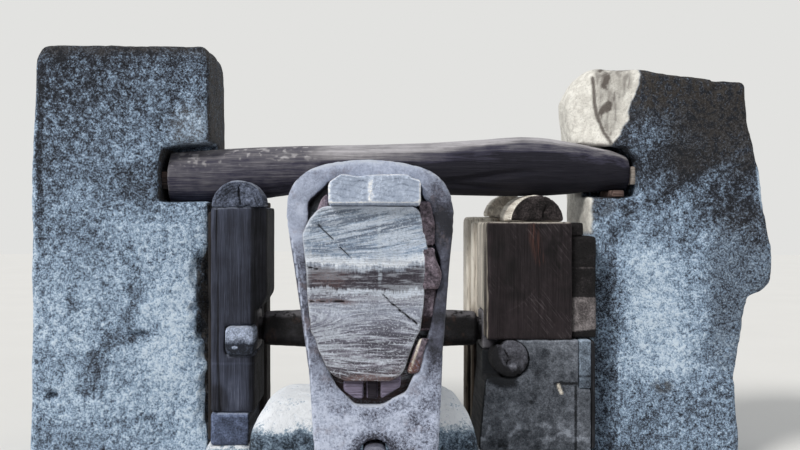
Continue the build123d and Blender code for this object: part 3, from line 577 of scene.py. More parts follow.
def helve_finish():
    """Grey oak: long fibres on the sides, and saw lines, bands and growth arcs on the end."""
    f = Finish("helve_wood", 0.84)
    run = f.stretched(Y, 0.03)
    fibre = f.share(f.clouds(0.0075, 5.0, 0.7, run), 0.34, 0.66)
    band = f.share(f.clouds(0.04, 4.0, 0.6, run, bend=0.5), 0.34, 0.66)
    patch = f.share(f.clouds(0.10, 5.0, 0.6), 0.32, 0.68)
    light = tone(150, 147, 146)
    dark = tone(66, 61, 60)
    grain = f.sum_of((fibre, 0.46), (band, 0.30), (patch, 0.24))
    sides = f.ramp(grain, ((0.1, dark), (0.5, tone(106, 101, 98)), (0.85, light)))

    across = f.part_of(f.place, X)
    height = f.part_of(f.place, Z)
    middle = spot(20, 0, 0)[X]
    aside = f.plus(across, -middle)
    upper = f.share(height, 1.13, 1.20)
    lower = f.share(height, 1.01, 0.97)
    lean = f.times(aside, upper, -0.20)
    bow = f.times(aside, aside, f.plus(height, -0.895), 20.0)
    turned = f.plus(height, lean, f.times(bow, lower))
    parts = {0: f.times(across, 0.09), 1: 0.0, 2: turned}
    along_saw = f.node("ShaderNodeCombineXYZ", inputs=parts).outputs[0]
    saw = f.share(f.clouds(0.0062, 4.0, 0.7, along_saw, bend=0.15), 0.34, 0.66)
    broad = f.share(f.clouds(0.016, 3.0, 0.6, along_saw, bend=0.2), 0.36, 0.64)
    tick = f.share(f.clouds(0.009, 4.0, 0.7, f.stretched(Z, 0.12)), 0.36, 0.64)
    speck = f.share(f.clouds(0.0055, 4.0, 0.75), 0.36, 0.64)
    ragged = f.sum_of((f.plus(patch, -0.5), 0.016), (f.plus(tick, -0.5), 0.010))
    mark = f.maths("DIVIDE", f.maths("SUBTRACT", f.plus(height, ragged), 0.820), 0.47)
    blue = tone(152, 170, 194)
    bands = (
        (0.0, tone(124, 110, 114)),
        (0.06, tone(142, 139, 151)),
        (0.24, tone(128, 127, 142)),
        (0.40, tone(164, 170, 186)),
        (0.465, tone(142, 142, 154)),
        (0.478, tone(206, 214, 227)),
        (0.502, tone(198, 206, 219)),
        (0.517, tone(70, 65, 74)),
        (0.615, tone(74, 70, 80)),
        (0.645, tone(172, 182, 198)),
        (0.660, tone(238, 243, 250)),
        (0.690, tone(226, 234, 245)),
        (0.72, blue),
        (0.97, tone(160, 175, 194)),
        (1.0, tone(180, 190, 206)),
    )
    face = f.ramp(mark, bands)
    gloom = f.mix(1.0, face, (0.30, 0.29, 0.30), "MULTIPLY")
    lined = f.plus(0.55, f.times(f.plus(upper, f.share(height, 0.98, 0.92)), 0.45))
    face = f.mix(f.times(f.share(saw, 0.50, 0.14, 0.0, 0.62), lined), face, gloom)
    face = f.mix(f.times(f.share(broad, 0.46, 0.16, 0.0, 0.66), lined), face, gloom)
    foot = f.times(f.share(broad, 0.50, 0.30, 0.0, 0.6), f.share(height, 0.98, 0.93))
    face = f.mix(foot, face, gloom)
    face = f.mix(f.times(f.share(broad, 0.56, 0.86, 0.0, 0.55), lined), face, tone(214, 222, 233))
    stained = f.times(f.share(mark, 0.500, 0.520), f.share(mark, 0.650, 0.625))
    bright = f.times(f.share(saw, 0.62, 0.95, 0.0, 0.60), f.plus(1.0, f.times(stained, -0.5)))
    face = f.mix(bright, face, tone(210, 217, 228))
    face = f.mix(f.share(speck, 0.22, 0.02, 0.0, 0.5), face, gloom)
    flecks = f.times(f.share(speck, 0.78, 0.98, 0.0, 0.6), f.plus(1.0, f.times(stained, -0.85)))
    face = f.mix(flecks, face, tone(214, 220, 230))
    line = f.plus(aside, -0.006, f.times(f.plus(band, -0.5), 0.004))
    stripe = f.share(f.maths("ABSOLUTE", line), 0.0065, 0.002)
    stripe = f.times(stripe, f.share(height, 1.05, 1.11), f.share(saw, 0.1, 0.5), 0.75)
    face = f.mix(stripe, face, tone(196, 206, 218))
    cut = f.share(f.part_of(f.normal, Y), -0.50, -0.80)
    body = f.mix(cut, sides, face)
    up = f.share(f.part_of(f.normal, Z), 0.5, 0.9)
    lying = f.times(up, f.share(f.sum_of((fibre, 0.5), (band, 0.5)), 0.15, 0.85), 0.6)
    body = f.mix(lying, body, tone(166, 165, 166))
    body = f.mix(f.painted("pale"), body, tone(214, 221, 232))
    body = f.mix(f.times(f.painted("rust"), f.share(speck, 0.0, 0.6)), body, tone(104, 80, 78))
    # The dark layer turns near black: cracks, and painted shade in corners and inside the eye.
    body = f.mix(f.painted("dark"), body, tone(26, 23, 24))
    f.bump(f.times(saw, cut), 0.0022, 0.9)
    f.bump(f.times(fibre, f.maths("SUBTRACT", 1.0, cut)), 0.0028, 0.9)
    f.bump(speck, 0.0010, 0.6)
    return f.done(body)


# Carving
def along_line(points, start, end):
    """How far each point is from a straight line between two places."""
    line = end - start
    share = np.clip(((points - start) @ line) / max(line @ line, 1e-9), 0, 1)
    return np.linalg.norm(points - start - share[:, None] * line, axis=1)


def smudges(points, dark_marks, seed, warp=0.05):
    """Soft ragged dark marks along lines, for stains and for painted shade in hollows. Each has two
    ends, half its width and a strength.
    """
    shift = np.stack([rubble(points, 0.12, 3, seed + axis) for axis in (X, Y, Z)], axis=1)
    warped = points + warp * shift
    ragged = 1 + 0.5 * rubble(points, 0.05, 3, seed + 5)
    total = np.zeros(len(points))
    for stain in dark_marks:
        away = along_line(warped, stain["start"], stain["end"]) / (stain["half"] * ragged)
        total = np.maximum(total, stain["strength"] * fade(away, 0.35, 1.5))
    return total


def hewn_stone(seed, relief=0.012, chip=0.01, bites=(), tones=None, swell=0.003):
    """A worker for granite: faces left uneven by the dressing, and chipped arrises. A bite has
    two ends, a radius and a depth, where more has broken away. The swell makes up for what
    the chipping takes off."""

    def worker(points, normals, corner):
        coarse = rubble(points, 0.42, 2, seed)
        middle = rubble(points, 0.12, 3, seed + 11)
        fine = rubble(points, 0.030, 2, seed + 23)
        sink = -relief * (0.55 * coarse + 0.45 * middle + 0.18 * fine) - swell
        out = np.clip(corner, 0, 1)
        broken = soft_step(rubble(points, 0.17, 3, seed + 31), -0.30, 0.40)
        sink += chip * out**1.3 * (0.25 + 0.75 * broken)
        for bite in bites:
            away = along_line(points, bite["start"], bite["end"]) / bite["radius"]
            away = away * (1 + 0.45 * lumps(points, 0.6 * bite["radius"], seed + 41))
            sink += bite["deep"] * np.clip(1 - away * away, 0, 1) ** 1.4
        layers = {
            # Inner corners are painted dark as shade.
            "dark": 0.5 * soft_step(-corner, 0.15, 0.6),
            "pale": 0.35 * out**1.5 * soft_step(fine, -0.2, 0.5),
            "rust": np.zeros(len(points)),
            "cream": np.zeros(len(points)),
        }
        if tones is not None:
            tones(points, normals, corner, layers)
        return sink, layers

    return worker


def worn_timber(along, seed, groove=0.003, split=0.014, wear=0.008, rays=(), tones=None):
    """A worker for timber: weathered fibres, long checks, worn corners and split ends.
    A ray is a split in an end: it has the heart, an angle, a length and a width."""

    def worker(points, normals, corner):
        run = points.copy()
        run[:, along] *= 0.05
        side = fade(np.abs(normals[:, along]), 0.45, 0.85)
        out = np.clip(corner, 0, 1)
        fibre = rubble(run, 0.018, 2, seed)
        wave = rubble(run, 0.07, 2, seed + 3)
        slow = rubble(points, 0.30, 2, seed + 5)
        sink = -groove * (0.5 * fibre * side + 0.6 * wave + 0.7 * slow)
        sink += 0.4 * groove * rubble(points, 0.03, 2, seed + 7) * (1 - side)
        gate = soft_step(lumps(run, 0.13, seed + 9), 0.05, 0.40)
        check = veins(run, 0.09, 0.085, seed + 13) * gate * side
        sink += split * check
        uneven = soft_step(rubble(points, 0.08, 2, seed + 17), -0.4, 0.4)
        sink += wear * out**1.3 * (0.35 + 0.65 * uneven)
        stain = 0.9 * min(1.0, split / 0.003) * soft_step(check, 0.2, 0.85)
        # Inner corners are painted dark as shade, along with the dark checks.
        dark = np.maximum(stain, 0.55 * soft_step(-corner, 0.15, 0.6))
        across = [axis for axis in (X, Y, Z) if axis != along]
        for ray in rays:
            length = ray["length"]
            away = points[:, across] - np.array(ray["heart"])[across]
            turn = math.radians(ray["angle"])
            way = np.array((math.cos(turn), math.sin(turn)))
            far = away @ way
            bow = 0.012 * lumps(points, 0.05, seed + 61) + 0.004 * lumps(points, 0.015, seed + 67)
            off = np.abs(away @ np.array((-way[1], way[0])) + bow)
            room = ray["width"] * np.clip(1 - np.abs(2 * far / length - 1), 0, 1) ** 0.6
            inside = np.where((far > 0) & (far < length), np.clip(1 - off / (room + 1e-6), 0, 1), 0)
            inside = inside * (1 - side)
            sink += 0.016 * inside
            dark = np.maximum(dark, soft_step(inside, 0.05, 0.6))
        layers = {
            "dark": dark,
            "pale": 0.45 * out**1.5 * soft_step(fibre, -0.5, 0.4),
            "rust": np.zeros(len(points)),
            "cream": np.zeros(len(points)),
        }
        if tones is not None:
            tones(points, normals, corner, layers)
        return sink, layers

    return worker


def forged(seed, relief=0.002, wear=0.004, pitted=None, tones=None, swell=0.0):
    """A worker for iron: hammered faces, rounded corners and, where given, pitted scale."""

    def worker(points, normals, corner):
        out = np.clip(corner, 0, 1)
        blows = 0.6 * rubble(points, 0.09, 2, seed) + 0.3 * rubble(points, 0.03, 2, seed + 5)
        sink = -relief * blows
        sink += wear * out**1.5 - swell
        pits = np.zeros(len(points)) if pitted is None else pitted(points)
        hole = soft_step(rubble(points, 0.022, 2, seed + 9), 0.05, 0.5)
        sink += 0.0035 * hole * pits
        layers = {
            "pits": pits,
            "pale": 0.5 * out**2,
            # Inner corners are painted dark as shade.
            "dark": 0.5 * soft_step(-corner, 0.15, 0.6),
            "rust": np.zeros(len(points)),
        }
        if tones is not None:
            tones(points, normals, corner, layers)
        return sink, layers

    return worker


def off_path(x, z, path):
    """How far each point is, seen from the front, from a line through places in the drawing's
    X and Z, in millimetres."""
    away = np.full(len(x), 1e9)
    for start, end in zip(path, path[1:]):
        run = np.array(end) - np.array(start)
        share = np.clip(((x - start[0]) * run[0] + (z - start[1]) * run[1]) / (run @ run), 0, 1)
        here = np.hypot(x - start[0] - share * run[0], z - start[1] - share * run[1])
        away = np.minimum(away, here)
    return away


def more(layers, name, values):
    """Adds paint to a layer wherever it is stronger than what is there."""
    layers[name] = np.maximum(layers[name], values)


def bell_of(width, spacing, reach):
    """Weights that fall off like a bell over so many steps on each side."""
    steps = np.arange(-width, width + 1) * spacing
    bell = np.exp(-0.5 * (steps / reach) ** 2)
    return bell / bell.sum()


def rounded_run(points, along, across, reach):
    """Smooths the kinks of a bar's outline: along it, the highest and lowest points across
    are averaged over a reach in metres, and all points follow. The ends stay."""
    cells = 120
    low, high = points[:, along].min(), points[:, along].max()
    place = (points[:, along] - low) / (high - low) * (cells - 1)
    near = np.clip(np.round(place).astype(int), 0, cells - 1)
    top = np.full(cells, -1e9)
    foot = np.full(cells, 1e9)
    np.maximum.at(top, near, points[:, across])
    np.minimum.at(foot, near, points[:, across])
    spacing = (high - low) / (cells - 1)
    width = int(3 * reach / spacing)
    bell = bell_of(width, spacing, reach)
    made = []
    for edge in (top, foot):
        padded = np.pad(edge, width, mode="reflect", reflect_type="odd")
        smooth = np.convolve(padded, bell, mode="valid")
        keep = soft_step(np.minimum(np.arange(cells), np.arange(cells)[::-1]), 2, 8)
        shift = (smooth - edge) * keep
        made.append(np.interp(place, np.arange(cells), shift))
    top_here = np.interp(place, np.arange(cells), top)
    foot_here = np.interp(place, np.arange(cells), foot)
    share = np.clip((points[:, across] - foot_here) / (top_here - foot_here), 0, 1)
    moved = points.copy()
    moved[:, across] += share * made[0] + (1 - share) * made[1]
    return moved


# A piece's outline, seen from the front, is read off every so many degrees round a centre
turn_step = 2.0
turns = np.arange(181)


def outline_round(across, up):
    """Which way points lie from a centre, in degrees and in steps, how far away they are, and
    how far the outline reaches at each step."""
    angle = np.degrees(np.arctan2(across, up))
    radius = np.hypot(across, up)
    way = (angle + 180) / turn_step
    outline = np.zeros(len(turns))
    np.maximum.at(outline, np.clip(np.round(way).astype(int), 0, turns[-1]), radius)
    return angle, way, radius, outline


def rounded_arch(points, centre, reach):
    """Smooths the head's outline seen from the front: how far it reaches from a centre is
    averaged over an angle in degrees, and the points near the outline follow."""
    away = points - centre
    angle, way, radius, outline = outline_round(away[:, X], away[:, Z])
    width = 30
    bell = bell_of(width, turn_step, reach)
    smooth = np.convolve(np.pad(outline, width, mode="wrap"), bell, mode="valid")
    keep = fade(np.abs(angle), 75, 110)
    here = np.interp(way, turns, outline)
    there = np.interp(way, turns, smooth)
    pull = keep * (there / np.maximum(here, 1e-6) - 1) * np.clip(radius / here, 0, 1) ** 4
    moved = points.copy()
    moved[:, X] += away[:, X] * pull
    moved[:, Z] += away[:, Z] * pull
    return moved


# Values that a user would change
class HammerStone(bpy.types.PropertyGroup):
    """Colours and roughness of the granite"""

    pale: FloatVectorProperty(
        name="Pale crystals",
        description="Colour of the granite's pale crystals",
        default=tone(156, 180, 206),
        subtype="COLOR",
        size=3,
        min=0.0,
        max=1.0,
    )
    dark: FloatVectorProperty(
        name="Dark crystals",
        description="Colour of the granite's dark crystals",
        default=tone(60, 65, 76),
        subtype="COLOR",
        size=3,
        min=0.0,
        max=1.0,
    )
    relief: FloatProperty(
        name="Relief",
        description="Depth of the uneven dressing on the pillars' faces",
        default=0.012,
        min=0.0,
        max=0.05,
        subtype="DISTANCE",
        unit="LENGTH",
    )
    chips: FloatProperty(
        name="Chips",
        description="How deep the pillars' arrises are chipped",
        default=0.008,
        min=0.0,
        max=0.08,
        subtype="DISTANCE",
        unit="LENGTH",
    )


class HammerTimber(bpy.types.PropertyGroup):
    """Colours and weathering of the timber"""

    bleached: FloatVectorProperty(
        name="Bleached wood",
        description="Colour of wood that rain and sun have bleached",
        default=tone(140, 137, 140),
        subtype="COLOR",
        size=3,
        min=0.0,
        max=1.0,
    )
    sooty: FloatVectorProperty(
        name="Sooty wood",
        description="Colour of the darkest posts and blocks",
        default=tone(36, 37, 45),
        subtype="COLOR",
        size=3,
        min=0.0,
        max=1.0,
    )
    groove: FloatProperty(
        name="Grooves",
        description="Depth of the weathered fibres",
        default=0.003,
        min=0.0,
        max=0.012,
        subtype="DISTANCE",
        unit="LENGTH",
    )
    split: FloatProperty(
        name="Checks",
        description="Depth of the long drying checks",
        default=0.014,
        min=0.0,
        max=0.04,
        subtype="DISTANCE",
        unit="LENGTH",
    )


class HammerIron(bpy.types.PropertyGroup):
    """Colour and scale of the iron"""

    dusted: FloatVectorProperty(
        name="Dusted iron",
        description="Colour of the hammer head's dusted faces",
        default=tone(160, 168, 188),
        subtype="COLOR",
        size=3,
        min=0.0,
        max=1.0,
    )
    pits: FloatProperty(
        name="Pitted height",
        description="Height above the ground below which the head is pitted",
        default=0.80,
        min=0.0,
        max=1.4,
        subtype="DISTANCE",
        unit="LENGTH",
    )


class HammerStudio(bpy.types.PropertyGroup):
    """Light and floor of the studio"""

    sun: FloatProperty(
        name="Key light",
        description="Strength of the soft key light from the upper left",
        default=2.3,
        min=0.0,
        max=10.0,
    )
    sky: FloatProperty(
        name="Sky light",
        description="Strength of the even light from all round",
        default=0.62,
        min=0.0,
        max=3.0,
    )
    floor: FloatVectorProperty(
        name="Floor",
        description="Colour of the studio floor",
        default=tone(222, 220, 216),
        subtype="COLOR",
        size=3,
        min=0.0,
        max=1.0,
    )


# Paint: each of these adds stains, pale places, brown, and painted light and shade to the layers of
# one piece
def left_pillar_tones(points, normals, corner, layers):
    x, y, z = drawn(points)
    cloud = rubble(points, 0.30, 4, 301)
    patch = rubble(points, 0.11, 3, 307)
    high = z + 120 * cloud
    ahead = fade(y + 90 * cloud, 40, 320)
    heights = (950, 1100, 1300, 1640, 1960, 2110)
    dark = np.interp(high, heights, (0.05, 0.15, 0.30, 0.48, 0.67, 0.92))
    dark += 0.16 * patch * soft_step(z, 900, 1500)
    calm = soft_step(x + 60 * cloud, -1270, -960) * fade(z, 1150, 1420)
    dark -= 0.10 * calm
    near_notch = np.hypot(x + 1120, 1.1 * (z - 1430)) + 60 * cloud
    dark += 0.30 * fade(near_notch, 60, 190) * ahead
    field = np.hypot(1.3 * (x + 900), z - 1690) + 50 * cloud
    dark -= 0.15 * fade(field, 60, 190) * ahead
    dark += 0.20 * fade(z + 60 * patch, 170, 360)
    strip = fade(np.abs(x + 1650 + 10 * patch), 8, 22)
    dark += 0.42 * strip * soft_step(z, 1060, 1200) * ahead
    dark -= 0.30 * fade(x, -1682, -1668) * fade(z, 1850, 1950) * ahead
    # Painted shadow: a strip along the inner edge by the left post, from 640 to 1080 high, is
    # painted dark brown.
    broken = soft_step(x + 16 * patch, -878, -866) * soft_step(z + 20 * patch, 640, 690)
    broken = broken * fade(z + 20 * patch, 1040, 1080)
    # Painted shade: faces turned to +X are painted dark brown.
    inner = soft_step(normals[:, X], 0.5, 0.85)
    more(layers, "dark", np.maximum(dark, np.maximum(0.80 * inner, 0.60 * broken)))
    more(layers, "rust", np.maximum(0.95 * inner, 0.90 * broken))
    more(layers, "rust", 0.75 * soft_step(z + 40 * patch, 2040, 2100))
    more(layers, "cream", 0.10 * fade(field, 60, 190) * ahead)
    more(layers, "pale", 0.52 * calm * fade(z, 950, 1350) * (1 - inner))
    dark_marks = [
        dict(start=spot(-1205, 0, 1090), end=spot(-1185, 0, 860), half=0.050, strength=0.55),
        dict(start=spot(-1185, 0, 860), end=spot(-1250, 0, 640), half=0.042, strength=0.48),
        dict(start=spot(-1110, 0, 690), end=spot(-1330, 0, 620), half=0.040, strength=0.58),
        dict(start=spot(-1330, 0, 620), end=spot(-1420, 0, 390), half=0.062, strength=0.56),
        dict(start=spot(-1480, 0, 1010), end=spot(-1475, 0, 800), half=0.036, strength=0.40),
        dict(start=spot(-872, 0, 1110), end=spot(-862, 0, 640), half=0.022, strength=0.36),
        dict(start=spot(-1400, 0, 210), end=spot(-1120, 0, 240), half=0.030, strength=0.42),
        # This mark paints shade in the hole.
        dict(start=spot(-1598, 0, 362), end=spot(-1575, 0, 366), half=0.018, strength=0.85),
        dict(start=spot(-1210, 0, 668), end=spot(-1120, 0, 672), half=0.010, strength=0.95),
    ]
    more(layers, "dark", smudges(points, dark_marks, 311))


def right_pillar_tones(points, normals, corner, layers):
    x, y, z = drawn(points)
    cloud = rubble(points, 0.26, 4, 331)
    slant = np.stack(((x + z) * 0.00014, y * 0.001, (z - x) * 0.00071), axis=1)
    streak = rubble(slant, 0.050, 3, 337)
    high = z + 60 * streak + 80 * cloud
    heights = (1050, 1150, 1230, 1300, 1400, 1520, 1700, 1900)
    dark = np.interp(high, heights, (0.04, 0.14, 0.32, 0.46, 0.62, 0.80, 0.90, 0.98))
    dark += 0.36 * streak * soft_step(z, 850, 1150) * fade(z, 1500, 1750)
    outer = soft_step(x + 70 * cloud, 1640, 1770) * soft_step(z + 80 * cloud, 440, 560)
    darker = 0.18 * outer * fade(z, 1300, 1500)
    dark += 0.09 * soft_step(x + 60 * cloud, 1520, 1600) + darker
    near = fade(x + 30 * cloud, 1265, 1345) * soft_step(z, 560, 700)
    dark += 0.28 * near * fade(z, 1396, 1420)
    dark += 0.30 * fade(z + 70 * cloud, 360, 520)
    beside = fade(np.hypot(x - 1360, 0.62 * (z - 1520)) + 60 * cloud, 70, 190)
    dark -= 0.14 * beside
    dark += 0.13 * soft_step(x + z - 2900 + 90 * cloud, 0, 200) * fade(z, 1560, 1640)
    arris = np.interp(z, (1560, 1622, 1672, 1750, 1850, 1930), (1205, 1230, 1275, 1303, 1326, 1366))
    ragged = 16 * cloud + 12 * rubble(points, 0.05, 2, 343)
    inner = fade(x + ragged, arris - 5, arris + 7)
    inner = inner * soft_step(-normals[:, X], -0.1, 0.15)
    inner = inner * fade(normals[:, Y], 0.15, 0.6)
    above = soft_step(z, 1500, 1560)
    below = fade(z, 1300, 1400)
    # Painted shade: faces turned to -X are darker, most of all below the beam.
    turned = soft_step(-normals[:, X], 0.25, 0.6)
    dark = np.where((turned > 0.4) & (z < 1400), 0.50 * below, dark + 0.20 * turned * (1 - inner))
    dark = dark * (1 - inner * above)
    flute = points.copy()
    flute[:, Z] *= 0.12
    groove = soft_step(rubble(flute, 0.030, 4, 341), 0.0, 0.55)
    seam = ((1180, 1990), (1179, 1849), (1188, 1775), (1210, 1690), (1233, 1634))
    past = x - np.interp(z, [place[1] for place in seam[::-1]], [place[0] for place in seam[::-1]])
    past = soft_step(past, 4, 16)
    streaky = soft_step(rubble(flute, 0.022, 3, 349), -0.10, 0.35)
    scar = off_path(x, z, seam) + 5 * cloud
    marks = 0.9 * fade(scar, 3, 10)
    for start, end in (((1236, 1990), (1228, 1925)), ((1208, 1800), (1237, 1838))):
        away = off_path(x, z, (start, end)) + 22 * rubble(points, 0.03, 3, 345)
        marks = np.maximum(marks, 0.95 * fade(away, 8, 26))
    worn = np.maximum(past * (0.34 + 0.30 * groove + 0.36 * streaky), 0.30 * groove * streaky)
    marks = np.maximum(marks, worn * (1 - 0.8 * soft_step(x, arris - 45, arris - 20)))
    more(layers, "dark", np.maximum(dark, marks * inner * above))
    # Painted sunlight: the inner side above the beam is cream.
    more(layers, "cream", inner * above)
    # Painted sunlight: a patch of the inner side below the beam is cream.
    lit = fade(x + 12 * streak, 1122, 1140) * soft_step(z, 1160, 1185)
    lit = lit * fade(z, 1400, 1480) * fade(normals[:, Y], 0.15, 0.6)
    more(layers, "cream", lit)
    layers["dark"] = layers["dark"] * (1 - lit)
    rim = soft_step(normals[:, X], 0.15, 0.5) * fade(y + 60 * cloud, 20, 110)
    rim = rim * soft_step(z + 60 * cloud, 1250, 1320) * fade(z + 60 * cloud, 1460, 1540)
    more(layers, "pale", rim)
    layers["dark"] = layers["dark"] * (1 - 0.8 * rim)
    fleck = soft_step(rubble(points, 0.028, 2, 347), 0.15, 0.45)
    shelf = np.hypot(1.4 * (x - 1150), z - 1190)
    more(layers, "pale", 0.9 * fleck * fade(shelf, 50, 130))
    more(layers, "pale", 0.30 * fade(np.hypot(x - 1420, 0.6 * (z - 720)), 120, 330))
    sooty = 0.62 * soft_step(high, 1380, 1540) + 0.38 * soft_step(high, 1660, 1860)
    corner_soot = soft_step(x + 0.6 * (z - 1500) + 80 * cloud, 1640, 1800)
    sooty = np.maximum(sooty, 0.85 * corner_soot * soft_step(z + 60 * streak, 1440, 1560))
    layers["rust"] = sooty * (1 - inner) * (1 - lit) * (1 - rim) * (1 - 0.75 * beside)
    brown = np.hypot(0.8 * (x - 1462), 1.3 * (z - 408)) + 12 * cloud
    more(layers, "rust", 0.85 * fade(brown, 22, 58))
    more(layers, "dark", 0.35 * fade(brown, 22, 58))
    ledge = fade(np.hypot(0.8 * (x - 1168), z - 1312) + 14 * cloud, 42, 74)
    ledge = ledge * (1 - lit) * (y < 110)
    more(layers, "dark", 0.56 * ledge)
    more(layers, "rust", 0.60 * ledge)
    more(layers, "rust", 0.4 * outer * fade(z, 1200, 1400))


def back_stone_tones(points, normals, corner, layers):
    x, y, z = drawn(points)
    cloud = rubble(points, 0.14, 3, 353)
    high = z + 40 * cloud
    # Painted sunlight on the top, and painted shade on the front below it.
    more(layers, "pale", soft_step(high, 415, 475))
    layers["dark"] = np.clip(0.72 + 0.16 * cloud, 0, 1) * fade(high, 395, 465)


def ground_stone_tones(points, normals, corner, layers):
    cloud = rubble(points, 0.16, 3, 359)
    more(layers, "dark", 0.20 + 0.30 * cloud)


def crossbeam_tones(points, normals, corner, layers):
    x, y, z = drawn(points)
    run = points.copy()
    run[:, X] *= 0.05
    streak = rubble(run, 0.035, 3, 401)
    broad = rubble(run, 0.09, 2, 403)
    # Faces turned up are painted pale, part bleaching and part painted sunlight; faces turned down
    # are painted dark as shade.
    up = normals[:, Z] + 0.28 * streak + 0.25 * broad
    left = fade(x + 60 * broad, -330, -190)
    far = soft_step(x, 250, 700)
    bleached = soft_step(up, 0.30 + 0.25 * far, 0.85) * (1 - left)
    more(layers, "pale", 0.95 * bleached)
    dark = 0.92 * soft_step(-up, -0.62 - 0.15 * far, 0.05) * (1 - left)
    dark = np.maximum(dark, 0.45 * soft_step(-up, 0.0, 0.7) * left)
    more(layers, "dark", dark * (1 - bleached))
    fleck = soft_step(rubble(points, 0.020, 2, 409), 0.16, 0.42)
    more(layers, "pale", 0.9 * fleck * left * soft_step(normals[:, Z], 0.0, 0.6))
    more(layers, "dark", 0.20 * left * fade(normals[:, Z], 0.1, 0.7))


def packing_tones(points, normals, corner, layers):
    x, y, z = drawn(points)
    more(layers, "dark", 0.35 * (x < 0))
    more(layers, "pale", 0.55 * (x > 0) * (z > 1352))
    more(layers, "rust", 0.7 * soft_step(x, 1150, 1200) * (z < 1352))
    more(layers, "cream", 0.42 * (x > 1310) * (z > 1352))


def left_post_tones(points, normals, corner, layers):
    x, y, z = drawn(points)
    cloud = rubble(points, 0.08, 2, 421)
    front = soft_step(-normals[:, Y], 0.3, 0.8)
    dusty = np.hypot(1.6 * (x + 640), z - 400) + 60 * cloud
    more(layers, "pale", 0.34 * fade(z + 30 * cloud, 520, 640) * front)
    more(layers, "pale", 0.62 * fade(dusty, 50, 130) * front)
    foot = np.hypot(x + 740, 0.8 * (z - 360)) + 30 * cloud
    more(layers, "dark", 0.45 * fade(foot, 30, 70))
    more(layers, "pale", 0.26 * soft_step(z, 1150, 1290) * front)
    line = fade(np.abs(z - 548 + 5 * cloud), 3, 9)
    more(layers, "pale", 0.6 * line * front)
    shelf = soft_step(z + 5 * cloud, 284, 290) * fade(z + 5 * cloud, 307, 309)
    more(layers, "pale", shelf * soft_step(-normals[:, Y] + normals[:, Z], 0.3, 0.8))
    # Painted shade: faces turned to +X are darkened.
    away = soft_step(normals[:, X], 0.4, 0.8)
    more(layers, "dark", 0.55 * away)


def key_tones(points, normals, corner, layers):
    x, y, z = drawn(points)
    cloud = rubble(points, 0.05, 2, 423)
    more(layers, "pale", 0.6 * soft_step(z + 10 * cloud, 652, 672))
    more(layers, "dark", 0.62 * fade(z + 10 * cloud, 638, 652))
    away = np.hypot(0.6 * (x + 652), z - 626) + 6 * cloud
    more(layers, "pale", fade(away, 7, 13))
    layers["dark"] = layers["dark"] * (1 - layers["pale"])


def upper_block_tones(points, normals, corner, layers):
    x, y, z = drawn(points)
    cloud = rubble(points, 0.07, 2, 431)
    front = soft_step(-normals[:, Y], 0.5, 0.9)
    flute = points.copy()
    flute[:, Z] *= 0.08
    side = soft_step(-normals[:, X], 0.4, 0.8)
    stripes = soft_step(rubble(flute, 0.05, 2, 433), -0.45, 0.05)
    # Painted sunlight: the faces turned to -X get cream stripes.
    more(layers, "cream", 0.66 * side * stripes * soft_step(z + 30 * cloud, 640, 700) * (y > -30))
    strip = fade(y + 12 * cloud, -62, -50) * (1 - 0.5 * soft_step(z, 1090, 1160))
    furrow = fade(np.abs(y + 42 + 8 * cloud), 6, 16)
    more(layers, "dark", side * np.maximum(0.62 * strip, 0.85 * furrow))
    near = fade(x, 582, 592) * front
    more(layers, "pale", 0.55 * near * fade(z, 1150, 1200))
    lower = fade(z + 90 * cloud, 780, 1000)
    fleck = soft_step(rubble(points, 0.022, 2, 437), 0.10, 0.50)
    more(layers, "pale", (0.20 + 0.20 * fleck) * lower * front)
    more(layers, "pale", 0.24 * fleck * front * soft_step(x + 40 * cloud, 760, 860))
    more(layers, "dark", 0.30 * soft_step(cloud, -0.1, 0.4) * (1 - lower) * front)
    streak = off_path(x, z, ((792, 1215), (794, 1150), (806, 1100), (824, 1050))) + 10 * cloud
    more(layers, "rust", 0.38 * fade(streak, 4, 34) * front)
    more(layers, "pale", 0.95 * soft_step(z + 4 * cloud, 1217, 1225) * front)
    arc = off_path(x, z, ((662, 796), (726, 832), (778, 876), (800, 906))) + 2 * cloud
    more(layers, "pale", 0.55 * fade(arc, 2, 7) * front)


def lower_block_tones(points, normals, corner, layers):
    x, y, z = drawn(points)
    cloud = rubble(points, 0.10, 3, 439)
    fine = rubble(points, 0.035, 3, 443)
    front = soft_step(-normals[:, Y], 0.5, 0.9)
    right = soft_step(x, 820, 1000) * soft_step(z, 450, 600)
    more(layers, "pale", 0.32 * right + 0.15 * soft_step(cloud, 0.0, 0.5))
    ash = soft_step(fine + 0.3 * cloud, 0.10, 0.45) * fade(z, 190, 420)
    more(layers, "pale", 0.9 * ash * front)
    mark = off_path(x, z, ((911, 440), (925, 404))) + 3 * fine
    more(layers, "cream", fade(mark, 5, 10) * front)
    more(layers, "dark", 0.55 * soft_step(-cloud, 0.10, 0.55))
    more(layers, "pale", 0.9 * soft_step(z + 4 * cloud, 648, 656) * front)
    # Painted shade: the hollow round the key, its ledge and the faces turned to -X are dark.
    hollow = fade(np.hypot(x - 650, z - 560) + 14 * cloud, 100, 150)
    hollow = hollow * fade(x, 690, 730)
    hollow = np.maximum(hollow, soft_step(-normals[:, X], 0.4, 0.8))
    inside = (y > -130) & (np.hypot(x - 672, z - 574) < 125) & (z < 655)
    hollow = np.maximum(hollow, inside)
    ledge = (normals[:, Z] > 0.4) & (z < 560) & (z > 440) & (x < 730)
    hollow = np.maximum(hollow, ledge)
    joint = fade(np.abs(x - 995 + 3 * fine), 3, 8)
    joint = joint * fade(z, 430, 450)
    seam = fade(np.abs(z - 452 + 8 * fine), 3, 8) * soft_step(x, 880, 900)
    more(layers, "dark", 0.8 * np.maximum(joint, seam) * front)
    more(layers, "dark", hollow)
    layers["pale"] = layers["pale"] * (1 - hollow)


